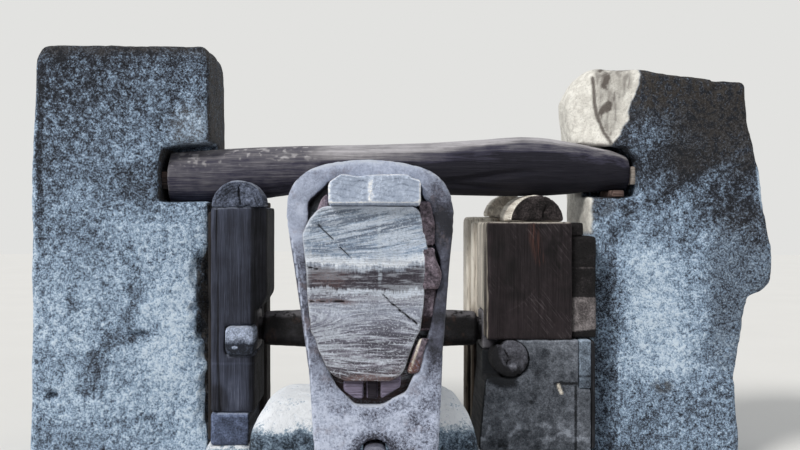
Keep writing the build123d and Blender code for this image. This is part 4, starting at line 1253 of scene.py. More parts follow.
def round_key_tones(points, normals, corner, layers):
    x, y, z = drawn(points)
    cloud = rubble(points, 0.045, 3, 447)
    more(layers, "dark", 0.4 * soft_step(-cloud, 0.0, 0.5))
    more(layers, "pale", 0.22 * soft_step(z + 0.6 * x, 1010, 1080))
    # Painted shadow: a crescent on the key's lower left is dark.
    turned = soft_step(np.hypot(x - 690, z - 597) + 6 * cloud, 60, 76)
    more(layers, "dark", 0.95 * turned * soft_step(1200 - x - z, -70, -20))
    chip = np.hypot(x - 690, z - 531) + 8 * cloud
    more(layers, "pale", 0.95 * fade(chip, 12, 26))


def packer_tones(points, normals, corner, layers):
    x, y, z = drawn(points)
    cloud = rubble(points, 0.05, 2, 449)
    third = fade(z, 862, 867)
    more(layers, "dark", 0.82 * (1 - third))
    more(layers, "pale", (0.36 * fade(z, 720, 830) + 0.16) * third)
    more(layers, "pale", 0.95 * third * fade(z + 18 * cloud, 706, 728))
    for level in (871, 1017, 1160):
        more(layers, "dark", fade(np.abs(z - level + 2 * cloud), 4, 8))
    more(layers, "pale", 0.9 * fade(np.abs(z - 1007 + 2 * cloud), 2, 6))
    # Painted shade: below the slot's edge the packers are dark.
    slot = fade(z - 0.10 * (x - 970), 690, 700)
    layers["pale"] = layers["pale"] * (1 - slot)
    more(layers, "dark", slot)


def inset_tones(points, normals, corner, layers):
    x, y, z = drawn(points)
    more(layers, "dark", 0.30 * fade(z, 450, 480))
    more(layers, "dark", 0.7 * fade(np.abs(z - 484), 2, 6))
    more(layers, "pale", 0.8 * soft_step(z, 646, 654))


def plank_tones(points, normals, corner, layers):
    x, y, z = drawn(points)
    cloud = rubble(points, 0.06, 2, 461)
    run = points.copy()
    run[:, Z] *= 0.10
    reach = 60 * cloud + 90 * rubble(run, 0.03, 3, 463)
    # Painted sunlight in cream above the bearing, and painted shadow below it.
    bright = soft_step(z + reach, 680, 800) * fade(x + 0.3 * reach, 640, 700)
    more(layers, "cream", bright)
    more(layers, "dark", 0.85 * fade(z + reach, 660, 800))


def bolster_tones(points, normals, corner, layers):
    front = soft_step(-normals[:, Y], 0.5, 0.9)
    cloud = rubble(points, 0.05, 2, 451)
    # Painted shade on the front; painted sunlight, in cream, on the faces turned to -X and on top.
    more(layers, "dark", 0.35 * front)
    left = soft_step(-normals[:, X] + 0.15 * cloud, -0.10, 0.15) * (1 - front)
    more(layers, "cream", 0.97 * left)
    more(layers, "cream", 0.5 * soft_step(normals[:, Z], 0.7, 0.9) * soft_step(cloud, -0.2, 0.4))


def rear_bolster_tones(points, normals, corner, layers):
    cloud = rubble(points, 0.05, 2, 457)
    # Painted sunlight: most of it is cream.
    more(layers, "cream", 0.97 * soft_step(cloud, -1.0, -0.3))


def sawn_end_tones(points, normals, corner, layers):
    x, y, z = drawn(points)
    front = soft_step(-normals[:, Y], 0.4, 0.8)
    deep = soft_step(y, -2066, -2046)
    ragged = 5 * lumps(points, 0.03, 511)
    rim = np.clip(corner, 0, 1) ** 1.2 * soft_step(rubble(points, 0.03, 2, 513), -0.5, 0.2)
    layers["pale"] = np.clip(0.9 * rim, 0, 1)
    more(layers, "pale", 0.95 * soft_step(z, 1274, 1278))
    left = np.clip(corner, 0, 1) * (x < -120) * (z > 1080)
    more(layers, "pale", 1.2 * left)
    foot = soft_step(-(z + 0.6 * ragged) - 0.0022 * (x + 6) ** 2, -836, -828)
    more(layers, "rust", 0.85 * foot)
    dashes = fade(np.abs(z - 1027 + ragged), 3, 8) * fade(x, -70, -20)
    more(layers, "rust", 0.8 * dashes * front)
    warm = np.hypot(0.7 * (x + 120), 1.6 * (z - 1088)) + 3 * ragged
    more(layers, "rust", 0.45 * fade(warm, 20, 60) * front)
    rubbish = soft_step(-z, -784, -766)
    # Painted shade: behind the face, inside the eye, the end is near black, less so low down where
    # debris lies.
    more(layers, "dark", (0.95 - 0.5 * rubbish) * deep)


# Cracks on the helve's sawn end: two ends in the drawing's X and Z, and a width, in millimetres
end_cracks = (
    {"start": (-137, 1232), "end": (-97, 1192), "width": 2.1},
    {"start": (-81, 1174), "end": (-50, 1146), "width": 1.5},
    {"start": (36, 1046), "end": (79, 1002), "width": 2.2},
    {"start": (79, 1002), "end": (126, 967), "width": 3.4},
    {"start": (-176, 1120), "end": (-138, 1113), "width": 1.8},
    {"start": (-160, 1030), "end": (-70, 1026), "width": 1.9},
)


def sawn_end(points, normals, corner):
    """The worker for the helve's end: saw lines, cracks and corners bruised by the wedges."""
    face = soft_step(-normals[:, Y], 0.4, 0.8)
    x, y, z = drawn(points)
    leaning = points[:, Z] - 0.2 * points[:, X] * (z > 1160)
    tilted = np.stack((points[:, X] * 0.07, points[:, Y], leaning), axis=1)
    furrow = rubble(tilted, 0.011, 2, 499)
    wander = 2.5 * lumps(points, 0.045, 501) + 1.2 * lumps(points, 0.014, 502)
    sink = -0.0013 * furrow * face - 0.0022 * lumps(points, 0.09, 505)
    out = np.clip(corner, 0, 1)
    sink += 0.007 * out**1.3 * soft_step(rubble(points, 0.05, 3, 507), -0.3, 0.5)
    # Inner corners are painted dark as shade.
    dark = 0.4 * soft_step(-corner, 0.15, 0.6)
    for crack in end_cracks:
        x0, z0 = crack["start"]
        run = np.array(crack["end"]) - np.array(crack["start"])
        share = np.clip(((x - x0) * run[0] + (z - z0) * run[1]) / (run @ run), 0, 1)
        off = np.hypot(x - x0 - share * run[0], z - z0 - share * run[1] + wander)
        mask = np.clip(1 - off / crack["width"], 0, 1) * face
        sink += 0.014 * mask
        dark = np.maximum(dark, soft_step(mask, 0.02, 0.45))
    layers = {"dark": dark, "pale": np.zeros(len(points)), "rust": np.zeros(len(points))}
    sawn_end_tones(points, normals, corner, layers)
    return sink, layers


def wedge_tones(points, normals, corner, layers):
    x, y, z = drawn(points)
    front = soft_step(-normals[:, Y], 0.4, 0.8)
    wander = lumps(points, 0.025, 521)
    line = fade(np.abs(x - 2 + 5 * wander), 4, 10)
    rim = np.maximum(soft_step(corner, 0.12, 0.45), front * fade(z, 1287, 1292))
    more(layers, "pale", np.maximum(0.75 * line * front, rim))
    rings = np.abs(((z - 1300 + 0.1 * x) / 14 + 0.6 * wander) % 1 - 0.5)
    more(layers, "dark", 0.34 * front * soft_step(rings, 0.30, 0.48) * (1 - line))


def chip_tones(points, normals, corner, layers):
    x, y, z = drawn(points)
    cloud = rubble(points, 0.04, 3, 531)
    more(layers, "rust", 0.16 * soft_step(cloud, 0.05, 0.45))
    more(layers, "pale", 0.95 * (x < -60))
    layers["rust"] = layers["rust"] * (x > -60)
    more(layers, "rust", 0.9 * fade(z, 850, 905) * (x > 60))
    more(layers, "dark", 0.95 * fade(z + 4 * cloud, 980, 992) * (x > 60) * (z > 951))
    splinter = off_path(x, z, ((135, 928), (105, 838)))
    more(layers, "cream", 0.9 * fade(splinter, 2, 5) * fade(y, -2080, -2060))
    # Painted shade: deeper in the eye the chips are darker.
    more(layers, "dark", 0.7 * soft_step(y, -2060, -2030))
    more(layers, "pale", 0.5 * soft_step(-cloud, 0.1, 0.5))


def shim_tones(points, normals, corner, layers):
    x, y, z = drawn(points)
    more(layers, "dark", 0.9 * (np.abs(x - 6) < 14))


def head_tones(points, normals, corner, layers):
    x, y, z = drawn(points)
    cloud = rubble(points, 0.10, 3, 547)
    upper = soft_step(z + 40 * cloud, 780, 900)
    # Painted shade: the right side is darkened, and the lower head darker towards its right.
    right = soft_step(x + 16 * cloud, 118, 168)
    fading = soft_step(z + 30 * cloud, 690, 960)
    fading = fading * (1 - 0.6 * soft_step(y + 30 * cloud, -2060, -1940))
    dark = 0.88 * right * fading * (1 - 0.60 * soft_step(z, 1230, 1360))
    dark = np.maximum(dark, 0.10 * soft_step(z, 1250, 1350))
    dark = np.maximum(dark, 0.26 * soft_step(x + 50 * cloud, 0, 130) * (1 - upper))
    side = fade(x - 0.25 * (1200 - z), -150, -110)
    side = side * fade(z + 26 * cloud, 1140, 1220) * soft_step(z + 40 * cloud, 740, 860)
    side = side * fade(y + 30 * cloud, -2080, -2010)
    dark = np.maximum(dark, 0.66 * side)
    # Darker round a spot at the foot of the eye, below the shims.
    blackest = np.hypot(0.8 * (x - 15), 2.4 * (z - 752)) + 26 * cloud
    dark = np.maximum(dark, 0.45 * fade(blackest, 60, 130))
    slot = np.hypot(x - 12, z - 612) + 10 * cloud
    dark = np.maximum(dark, 0.55 * fade(slot, 52, 82))
    # Painted shade: the eye's inner walls are near black, its floor less so.
    half = 160 + 64 * np.clip((z - 492) / 808, 0, 1)
    wall = fade(np.abs(normals[:, Y]), 0.2, 0.6) * (np.abs(x - 8) < half - 22)
    wall = wall * (z > 715) * (z < 1372)
    floor = soft_step(normals[:, Z], 0.3, 0.7) * (z < 880)
    more(layers, "dark", np.maximum(dark, wall * (0.95 - 0.85 * floor)))
    # Painted light: the lower head is paler on its left.
    more(layers, "pale", 0.42 * fade(x + 40 * cloud, -60, 40) * (1 - upper))
    more(layers, "pale", 0.30 * fade(np.hypot(x + 190, z - 1320), 30, 110))
    # Painted shade on the left limb's faces turned to -X, less towards the back, and a painted
    # highlight where they round over.
    turned = -normals[:, X] * (x < 0) * (z < 1200)
    behind = soft_step(y + 30 * cloud, -2060, -1960)
    more(layers, "dark", (0.62 - 0.42 * behind) * soft_step(turned, 0.5, 0.75) * upper)
    edge = soft_step(turned, 0.40, 0.50) * fade(turned, 0.60, 0.70)
    layers["pale"] = np.maximum(layers["pale"] * (1 - 0.9 * side), 0.7 * edge)
    layers["dark"] = layers["dark"] * (1 - 0.7 * edge)
    layers["pale"] = layers["pale"] * (1 - 0.8 * right * fading) + 0.14 * (1 - upper)
    more(layers, "pits", np.maximum(0.35 * side, 0.22 * soft_step(z, 1180, 1300)))
    layers["pale"] = layers["pale"] * (1 - 0.8 * wall) * (1 - 0.9 * fade(slot, 52, 82))
    dusty = wall * soft_step(-normals[:, X] * np.sign(x - 8) + normals[:, Z], 0.3, 0.8) * (z < 860)
    more(layers, "pale", dusty)
    layers["dark"] = layers["dark"] * (1 - dusty)


def arm_tones(points, normals, corner, layers):
    x, y, z = drawn(points)
    more(layers, "dark", 0.86 + 0.08 * soft_step(np.abs(x), 200, 320))


# How the scene bends a few pieces away from their plain solids
def pushed(points, start, end, reach, shift_x, shift_z):
    """Moves what lies near a line, seen from the front, by a shift in millimetres that fades
    away over the reach. The line's ends are given on the drawing."""
    x, y, z = drawn(points)
    away = off_path(x, z, (start, end))
    pull = np.exp(-((away / reach) ** 2)) / 1000
    moved = points.copy()
    moved[:, X] += shift_x * pull
    moved[:, Z] += shift_z * pull
    return moved


def helve_end_bend(points):
    """Spreads the helve's bruised end over the eye's edge, and packs the eye behind it."""
    x, y, z = drawn(points)
    low = soft_step(-z, -1120, -1000)
    lower = soft_step(-z, -935, -870)
    wide = 1 + 0.050 + 0.035 * low + 0.045 * lower
    tall = np.where(z < 1058, 1 + 0.03 * ((1058 - z) / 230) ** 2, 1.0)
    packed = soft_step(y, -2062, -2040)
    wide_deep = np.where(x > -14, 1.34, 1.07)
    tall_deep = np.where(z > 1058, 1.36, 1.32)
    wide = wide + (wide_deep - wide) * packed
    tall = tall + (tall_deep - tall) * packed
    proud = 7 * fade(y, -2092, -2080)
    lift = 0.55 * np.maximum(np.abs(x + 6) - 52, 0) * fade(z, 860, 960) * (1 - packed)
    moved = points.copy()
    moved[:, X] += (x + 14) * (wide - 1) / 1000
    moved[:, Z] += ((z - 1058) * (tall - 1) + lift) / 1000
    moved[:, Y] -= proud / 1000
    moved = pushed(moved, (-118, 895), (-100, 862), 42, -15, 0)
    return pushed(moved, (-140, 1256), (-152, 1244), 30, -8, 7)


def right_pillar_bend(points):
    """Raises the pillar's left shoulder, and lets its outer side bulge."""
    x, y, z = drawn(points)
    moved = points.copy()
    high = soft_step(z, 1650, 1930)
    moved[:, Z] += 0.044 * np.exp(-(((x - 1185) / 95) ** 2)) * high
    moved[:, Z] -= 0.022 * soft_step(x, 1350, 1450) * high
    moved = pushed(moved, (1880, 1580), (1960, 1200), 90, 9, 0)
    return pushed(moved, (1985, 1060), (1985, 935), 60, 18, 0)


def side_wedge_bend(points):
    """Shifts the chips in the eye to where they have worked themselves."""
    x, y, z = drawn(points)
    knots = (850, 947, 965, 1040, 1055, 1195, 1205, 1400)
    places = (826, 925, 952, 1064, 1058, 1170, 1180, 1392)
    moved = points.copy()
    right = x > 0
    left_run = 1248 + 1.12 * (z - 1249) - z
    moved[:, Z] += np.where(right, np.interp(z, knots, places) - z, left_run) / 1000
    narrow = 132 + (x - 132) * (1 - 0.34 * soft_step(z, 1100, 1180)) - x
    narrow = narrow - 10 * fade(z, 930, 960)
    edge = 155 + 0.25 * (z - 951)
    narrow = narrow + 0.35 * np.maximum(edge - x + 10, 0) * fade(z, 952, 958)
    moved[:, X] += np.where(right, narrow, -151 + 1.56 * (x + 174) - x) / 1000
    return moved


def packer_bend(points):
    """Shifts the joints between the packers."""
    x, y, z = drawn(points)
    moved = points.copy()
    joints = (665, 848, 1007, 1162, 1227)
    places = (665, 869, 1014, 1160, 1227)
    moved[:, Z] += (np.interp(z, joints, places) - z) / 1000
    return moved


def shim_bend(points):
    """Lifts the shims off the eye's floor, and tips the right one."""
    x, y, z = drawn(points)
    moved = points.copy()
    moved[:, Z] += (0.26 * np.maximum(818 - z, 0) + 0.25 * np.maximum(x - 34, 0) - 3) / 1000
    return moved


def top_wedge_bend(points):
    """Lowers the wedge's top and knocks off its upper corners."""
    x, y, z = drawn(points)
    moved = points.copy()
    high = soft_step(z, 1300, 1340)
    drop = 0.22 * np.maximum(z - 1326, 0) + 5 * np.exp(-(((x + 32) / 22) ** 2)) * high
    drop += 0.68 * np.maximum(-(x + 78), 0) * high
    drop += (9 * soft_step(x, 100, 108) + 0.24 * np.maximum(x - 106, 0)) * high
    moved[:, Z] -= drop / 1000
    return moved


def cotter_bend(points):
    """Drives the cotter up to the round top of its slot."""
    x, y, z = drawn(points)
    moved = points.copy()
    moved[:, Z] += 0.014 * soft_step(z, 590, 625)
    moved[:, X] += (x - 12) * 0.22 / 1000
    return moved


def beam_bend(points):
    """Evens out the crossbeam's kinks, so that it runs in one long wave."""
    moved = rounded_run(points, X, Z, 0.085)
    moved = rounded_run(moved, X, Y, 0.085)
    x, y, z = drawn(moved)
    hump = np.exp(-0.5 * ((x - 900) / 170) ** 2)
    moved[:, Z] += 0.012 * hump * soft_step(z, 1440, 1560)
    return moved


def head_bend(points):
    """Rounds the corners of the head's arch, and closes its eye on the helve and the chips."""
    arch_centre = 1190
    moved = rounded_arch(points, spot(0, 0, arch_centre), 10)
    x, y, z = drawn(moved)
    _, way, radius, outline = outline_round(x, z - arch_centre)
    above = np.interp(way, turns, outline) - radius
    outside = 163 + 61 * np.clip((z - 830) / 470, 0, 1)
    inside = np.where(z > arch_centre, above, outside - np.abs(x))
    ceiling = np.clip(inside / 26, 0, 1) * soft_step(z, 1230, 1320)
    ceiling = ceiling * fade(-x, 112, 165) * fade(x, 138, 190)
    moved[:, Z] -= 0.020 * ceiling
    cheek = np.clip(inside / 20, 0, 1) * fade(x, -120, -60)
    moved[:, X] += 0.015 * cheek * soft_step(z, 850, 930) * fade(z, 1230, 1290)
    cheek = np.clip(inside / 18, 0, 1) * soft_step(x, 60, 110)
    closed = 6 * soft_step(z, 770, 830) + 20 * soft_step(z, 1130, 1190)
    moved[:, X] -= 0.001 * closed * cheek * fade(z, 1310, 1370)
    moved[:, X] -= 0.003 * fade(x, -120, -60) * soft_step(z, 900, 1100)
    return moved


# Operators
class TRIPHAMMER_OT_pillars(bpy.types.Operator):
    """Carve and finish the two granite pillars"""

    bl_idname = "triphammer.pillars"
    bl_label = "Granite Pillars"

    def execute(self, context):
        stone = context.scene.hammer_stone
        finish = granite(
            "pillar_granite",
            tuple(stone.pale),
            tuple(stone.dark),
            tone(214, 228, 241),
        )
        bites = [
            dict(start=spot(-806, 0, 1020), end=spot(-806, 0, 700), radius=0.090, deep=0.050),
            dict(start=spot(-806, 0, 900), end=spot(-806, 0, 640), radius=0.060, deep=0.022),
            dict(start=spot(-808, 0, 590), end=spot(-808, 0, 560), radius=0.055, deep=0.030),
            dict(start=spot(-806, 0, 440), end=spot(-806, 0, 420), radius=0.050, deep=0.030),
            dict(start=spot(-806, 0, 330), end=spot(-806, 0, 250), radius=0.060, deep=0.024),
            dict(start=spot(-1600, 0, 364), end=spot(-1572, 0, 366), radius=0.022, deep=0.030),
            dict(start=spot(-1205, 0, 668), end=spot(-1125, 0, 672), radius=0.014, deep=0.026),
        ]
        worker = hewn_stone(
            seed=11,
            relief=stone.relief,
            chip=stone.chips,
            bites=bites,
            tones=left_pillar_tones,
            swell=0.005,
        )
        dress("left_pillar", worker, finish, cell=0.0100, corner_rounds=20)
        bites = [
            dict(start=spot(1990, 0, 860), end=spot(1985, 0, 800), radius=0.070, deep=0.020),
            dict(start=spot(1742, 0, 2010), end=spot(1738, 0, 1900), radius=0.040, deep=0.026),
            dict(start=spot(1235, 0, 1130), end=spot(1225, 0, 1050), radius=0.070, deep=0.022),
            dict(start=spot(1215, 0, 720), end=spot(1210, 0, 640), radius=0.060, deep=0.022),
            dict(start=spot(1700, 0, 600), end=spot(1640, 0, 420), radius=0.080, deep=0.014),
        ]
        worker = hewn_stone(
            seed=29,
            relief=1.25 * stone.relief,
            chip=stone.chips,
            bites=bites,
            tones=right_pillar_tones,
            swell=0.005,
        )
        dress(
            "right_pillar", worker, finish, cell=0.0100, corner_rounds=20, bend=right_pillar_bend
        )
        return {"FINISHED"}


class TRIPHAMMER_OT_ground_stones(bpy.types.Operator):
    """Carve and finish the stones at ground level"""

    bl_idname = "triphammer.ground_stones"
    bl_label = "Ground Stones"

    def execute(self, context):
        stone = context.scene.hammer_stone
        boulder = granite(
            "boulder_granite",
            tone(150, 170, 188),
            tone(80, 94, 110),
            tone(240, 243, 248),
            dust=tone(236, 239, 243),
            pale_gain=0.55,
        )
        worker = hewn_stone(seed=43, relief=1.4 * stone.relief, chip=0.010, tones=back_stone_tones)
        dress("back_stone", worker, boulder, cell=0.0115, soften=4, corner_rounds=24)
        worker = hewn_stone(seed=47, relief=stone.relief, chip=0.020, tones=ground_stone_tones)
        slab = granite(
            "slab_granite",
            tone(158, 166, 174),
            tone(92, 98, 106),
            tone(206, 210, 214),
            dust=tone(196, 198, 200),
            pale_gain=0.3,
        )
        dress("anvil_stone", worker, slab, cell=0.014, corner_rounds=16)
        worker = hewn_stone(
            seed=53, relief=0.6 * stone.relief, chip=0.014, tones=ground_stone_tones
        )
        dress("left_base_stone", worker, boulder, cell=0.009)
        dress("right_base_stone", worker, boulder, cell=0.010)
        return {"FINISHED"}


class TRIPHAMMER_OT_crossbeam(bpy.types.Operator):
    """Carve and finish the crossbeam and its packings"""

    bl_idname = "triphammer.crossbeam"
    bl_label = "Crossbeam"

    def execute(self, context):
        wood = context.scene.hammer_timber
        log = timber(
            "weathered_log",
            tuple(wood.bleached),
            tone(56, 54, 70),
            X,
            heart=tuple(spot(0, 165, 1440)),
            ring=0.020,
            calm=0.5,
        )
        worker = worn_timber(
            X,
            seed=61,
            groove=0.9 * wood.groove,
            split=wood.split,
            wear=0.004,
            tones=crossbeam_tones,
        )
        dress("crossbeam", worker, log, cell=0.0075, soften=3, corner_rounds=16, bend=beam_bend)
        packing = timber("packing_wood", tone(96, 78, 72), tone(44, 37, 37), X)
        worker = worn_timber(X, seed=79, groove=0.002, split=0.006, wear=0.003, tones=packing_tones)
        dress("beam_packings", worker, packing, cell=0.004, soften=1)
        return {"FINISHED"}


class TRIPHAMMER_OT_bolsters(bpy.types.Operator):
    """Carve and finish the half-round cap and bolsters under the crossbeam"""

    bl_idname = "triphammer.bolsters"
    bl_label = "Cap and Bolsters"

    def execute(self, context):
        wood = context.scene.hammer_timber
        bolster = timber(
            "bolster_wood",
            tone(92, 84, 84),
            tone(42, 36, 37),
            Y,
            heart=tuple(spot(838, 0, 1225)),
            ring=0.014,
        )
        rays = [dict(heart=spot(838, 0, 1231), angle=64, length=0.11, width=0.004)]
        worker = worn_timber(
            Y,
            seed=67,
            groove=wood.groove,
            split=wood.split,
            wear=0.008,
            rays=rays,
            tones=bolster_tones,
        )
        dress("right_bolster", worker, bolster, cell=0.005)
        worker = worn_timber(Y, seed=71, groove=wood.groove, tones=rear_bolster_tones)
        dress("right_rear_bolster", worker, bolster, cell=0.006)
        cap = timber(
            "post_cap_wood",
            tone(108, 116, 136),
            tone(50, 55, 68),
            Y,
            heart=tuple(spot(-636, 0, 1296)),
            ring=0.016,
            dust=tone(140, 146, 160),
        )
        rays = [
            dict(heart=spot(-632, 0, 1300), angle=90, length=0.12, width=0.006),
            dict(heart=spot(-632, 0, 1300), angle=24, length=0.07, width=0.003),
        ]
        worker = worn_timber(Y, seed=73, groove=wood.groove, split=0.008, wear=0.007, rays=rays)
        dress("left_post_cap", worker, cap, cell=0.0045)
        return {"FINISHED"}


class TRIPHAMMER_OT_left_stack(bpy.types.Operator):
    """Carve and finish the left bearing stack"""

    bl_idname = "triphammer.left_stack"
    bl_label = "Left Bearing Stack"

    def execute(self, context):
        wood = context.scene.hammer_timber
        post = timber(
            "left_post_wood",
            tone(72, 77, 94),
            tuple(wood.sooty),
            Z,
            dust=tone(112, 118, 132),
            calm=0.5,
        )
        worker = worn_timber(
            Z,
            seed=83,
            groove=0.6 * wood.groove,
            split=0.4 * wood.split,
            wear=0.007,
            tones=left_post_tones,
        )
        dress("left_post", worker, post, cell=0.0062)
        base = timber(
            "left_base_wood",
            tone(90, 101, 128),
            tone(43, 48, 62),
            Y,
            dust=tone(150, 160, 182),
            calm=0.9,
        )
        worker = worn_timber(Z, seed=85, groove=0.0, split=0.0, wear=0.006, tones=left_post_tones)
        dress("left_base_block", worker, base, cell=0.006)
        key = timber(
            "bearing_key_wood", tone(150, 160, 180), tone(66, 73, 88), Y, dust=tone(164, 171, 186)
        )
        worker = worn_timber(Y, seed=89, groove=0.003, split=0.008, wear=0.009, tones=key_tones)
        dress("left_bearing_key", worker, key, cell=0.004)
        rear = timber("left_rear_wood", tone(52, 47, 46), tone(26, 24, 25), Z, calm=0.7)
        dress(
            "left_rear_post",
            worn_timber(Z, seed=97, groove=wood.groove, split=wood.split),
            rear,
            cell=0.011,
        )
        dress(
            "left_side_board",
            worn_timber(Z, seed=101, groove=0.002, split=0.004, wear=0.003),
            rear,
            cell=0.007,
        )
        return {"FINISHED"}


class TRIPHAMMER_OT_right_stack(bpy.types.Operator):
    """Carve and finish the right bearing stack"""

    bl_idname = "triphammer.right_stack"
    bl_label = "Right Bearing Stack"

    def execute(self, context):
        wood = context.scene.hammer_timber
        # Colour of painted sunlight on the upper block's faces turned to -X
        sunlit = tone(206, 196, 182)
        upper = timber(
            "upper_block_wood",
            tone(47, 39, 42),
            tone(17, 13, 15),
            Z,
            saw=38.0,
            sunlit=sunlit,
            dust=tone(170, 162, 152),
            calm=0.26,
        )
        worker = worn_timber(
            Z, seed=103, groove=0.5 * wood.groove, split=0.0, wear=0.004, tones=upper_block_tones
        )
        dress("right_upper_block", worker, upper, cell=0.0060)
        lower = timber("lower_block_wood", tone(116, 121, 130), tone(54, 58, 65), Y, calm=0.75)
        worker = worn_timber(
            Y, seed=107, groove=wood.groove, split=0.0, wear=0.006, tones=lower_block_tones
        )
        dress("right_lower_block", worker, lower, cell=0.0060)
        key = timber("round_key_wood", tone(104, 105, 114), tone(50, 50, 56), Y, calm=0.7)
        rays = [
            dict(heart=spot(672, 0, 574), angle=118, length=0.06, width=0.005),
            dict(heart=spot(672, 0, 574), angle=250, length=0.05, width=0.004),
        ]
        worker = worn_timber(
            Y, seed=109, groove=0.005, split=0.010, wear=0.012, rays=rays, tones=round_key_tones
        )
        dress("right_bearing_key", worker, key, cell=0.0045)
        pack = timber("packer_wood", tone(104, 98, 98), tone(42, 38, 40), Y)
        worker = worn_timber(X, seed=113, groove=0.003, split=0.0, wear=0.008, tones=packer_tones)
        dress("right_packers", worker, pack, cell=0.0055, bend=packer_bend)
        inset = timber("inset_wood", tone(128, 141, 156), tone(72, 80, 91), Y)
        worker = worn_timber(Y, seed=127, groove=0.002, split=0.0, wear=0.003, tones=inset_tones)
        dress("right_inset_block", worker, inset, cell=0.0036)
        plank = timber(
            "plank_wood",
            tone(140, 122, 104),
            tone(58, 49, 44),
            Z,
            # Colour of painted sunlight on the faces turned to -X
            sunlit=tone(222, 208, 190),
            dust=tone(200, 188, 172),
        )
        worker = worn_timber(
            Z, seed=131, groove=1.3 * wood.groove, split=wood.split, wear=0.006, tones=plank_tones
        )
        dress("right_rear_plank", worker, plank, cell=0.009)
        dress("right_rear_post", worker, plank, cell=0.011)
        board = timber("side_board_wood", tone(50, 50, 55), tone(26, 26, 28), Z)
        dress(
            "right_side_board",
            worn_timber(Z, seed=137, groove=0.002, split=0.004, wear=0.003),
            board,
            cell=0.009,
        )
        return {"FINISHED"}


class TRIPHAMMER_OT_helve(bpy.types.Operator):
    """Carve and finish the helve, with its sawn end at the hammer head"""

    bl_idname = "triphammer.helve"
    bl_label = "Helve"

    def execute(self, context):
        wood = context.scene.hammer_timber
        whole = solids_of("helve")[0]
        tail = cut_off(whole, spot(0, -1905, 0), (0, -1, 0))
        end = cut_off(whole, spot(0, -1885, 0), (0, 1, 0))
        finish = helve_finish()
        shaft = cast("helve_shaft", tail, cell=0.010)
        carve(
            shaft,
            worn_timber(Y, seed=139, groove=wood.groove, split=0.8 * wood.split, wear=0.010),
            corner_rounds=16,
        )
        stand_for(shaft, "helve", finish)
        block = cast("helve_end", end, cell=0.0036)
        carve(block, sawn_end, corner_rounds=14, bend=helve_end_bend)
        stand_for(block, "helve", finish)
        return {"FINISHED"}


class TRIPHAMMER_OT_wedges(bpy.types.Operator):
    """Carve and finish the wedges, chips and shims in the head's eye"""

    bl_idname = "triphammer.wedges"
    bl_label = "Eye Wedges"

    def execute(self, context):
        top = timber(
            "top_wedge_wood",
            tone(206, 217, 236),
            tone(152, 163, 183),
            Y,
            dust=tone(206, 210, 218),
            calm=0.6,
        )
        worker = worn_timber(Y, seed=149, groove=0.0016, split=0.0, wear=0.003, tones=wedge_tones)
        dress(
            "head_top_wedge",
            worker,
            top,
            cell=0.0032,
            soften=1,
            corner_rounds=10,
            bend=top_wedge_bend,
        )
        chip = timber("chip_wood", tone(126, 114, 125), tone(52, 46, 53), Y)
        worker = worn_timber(Z, seed=151, groove=0.004, split=0.0, wear=0.007, tones=chip_tones)
        dress("head_side_wedges", worker, chip, cell=0.0034, bend=side_wedge_bend)
        shim = timber("shim_wood", tone(138, 130, 152), tone(78, 70, 84), X, calm=0.7)
        worker = worn_timber(X, seed=157, groove=0.002, split=0.0, wear=0.004, tones=shim_tones)
        dress("head_bottom_shims", worker, shim, cell=0.0034, bend=shim_bend)
        return {"FINISHED"}


class TRIPHAMMER_OT_head(bpy.types.Operator):
    """Carve and finish the iron head, its striking die and the cotter"""

    bl_idname = "triphammer.head"
    bl_label = "Hammer Head"

    def execute(self, context):
        settings = context.scene.hammer_iron
        finish = iron(
            "head_iron",
            tuple(settings.dusted),
            tone(78, 80, 94),
            tone(128, 118, 124),
            metallic=0.1,
            dust=tone(182, 188, 200),
        )

        def pitted(points):
            level = points[:, Z] + 0.10 * rubble(points, 0.12, 3, 541)
            return fade(level, settings.pits - 0.10, settings.pits + 0.14)

        worker = forged(
            seed=163, relief=0.0014, wear=0.001, pitted=pitted, tones=head_tones, swell=0.001
        )
        dress("hammer_head", worker, finish, cell=0.0050, corner_rounds=10, bend=head_bend)
        worn = iron(
            "struck_iron", tone(150, 150, 152), tone(84, 82, 84), tone(92, 76, 68), metallic=0.75
        )
        dress("hammer_die", forged(seed=167, relief=0.0015, wear=0.006), worn, cell=0.005)
        cotter = iron(
            "cotter_iron", tone(112, 114, 128), tone(52, 52, 60), tone(84, 70, 66), metallic=0.4
        )
        dress(
            "die_cotter",
            forged(seed=173, relief=0.002, wear=0.006),
            cotter,
            cell=0.004,
            bend=cotter_bend,
        )
        return {"FINISHED"}


class TRIPHAMMER_OT_trunnions(bpy.types.Operator):
    """Carve and finish the trunnion ring, its bearings, the bands and the tail shoe"""

    bl_idname = "triphammer.trunnions"
    bl_label = "Trunnions and Bands"

    def execute(self, context):
        dark = iron(
            "trunnion_iron",
            tone(86, 84, 90),
            tone(38, 37, 41),
            tone(70, 52, 44),
            metallic=0.35,
            dust=tone(96, 94, 98),
        )
        dress(
            "trunnion_ring",
            forged(seed=179, relief=0.003, wear=0.008, tones=arm_tones),
            dark,
            cell=0.007,
        )
        dress("ring_wedges", forged(seed=181, relief=0.002, wear=0.004), dark, cell=0.005)
        dress("left_bearing", forged(seed=197, relief=0.002, wear=0.004), dark, cell=0.005)
        dress("right_bearing", forged(seed=199, relief=0.002, wear=0.004), dark, cell=0.005)
        dress("tail_bands", forged(seed=191, relief=0.0008, wear=0.001), dark, cell=0.004, soften=1)
        dress("neck_band", forged(seed=193, relief=0.0008, wear=0.001), dark, cell=0.004, soften=1)
        shoe = iron(
            "shoe_iron", tone(152, 150, 150), tone(80, 78, 80), tone(88, 66, 54), metallic=0.8
        )
        dress("tail_shoe", forged(seed=211, relief=0.0015, wear=0.004), shoe, cell=0.004)
        return {"FINISHED"}


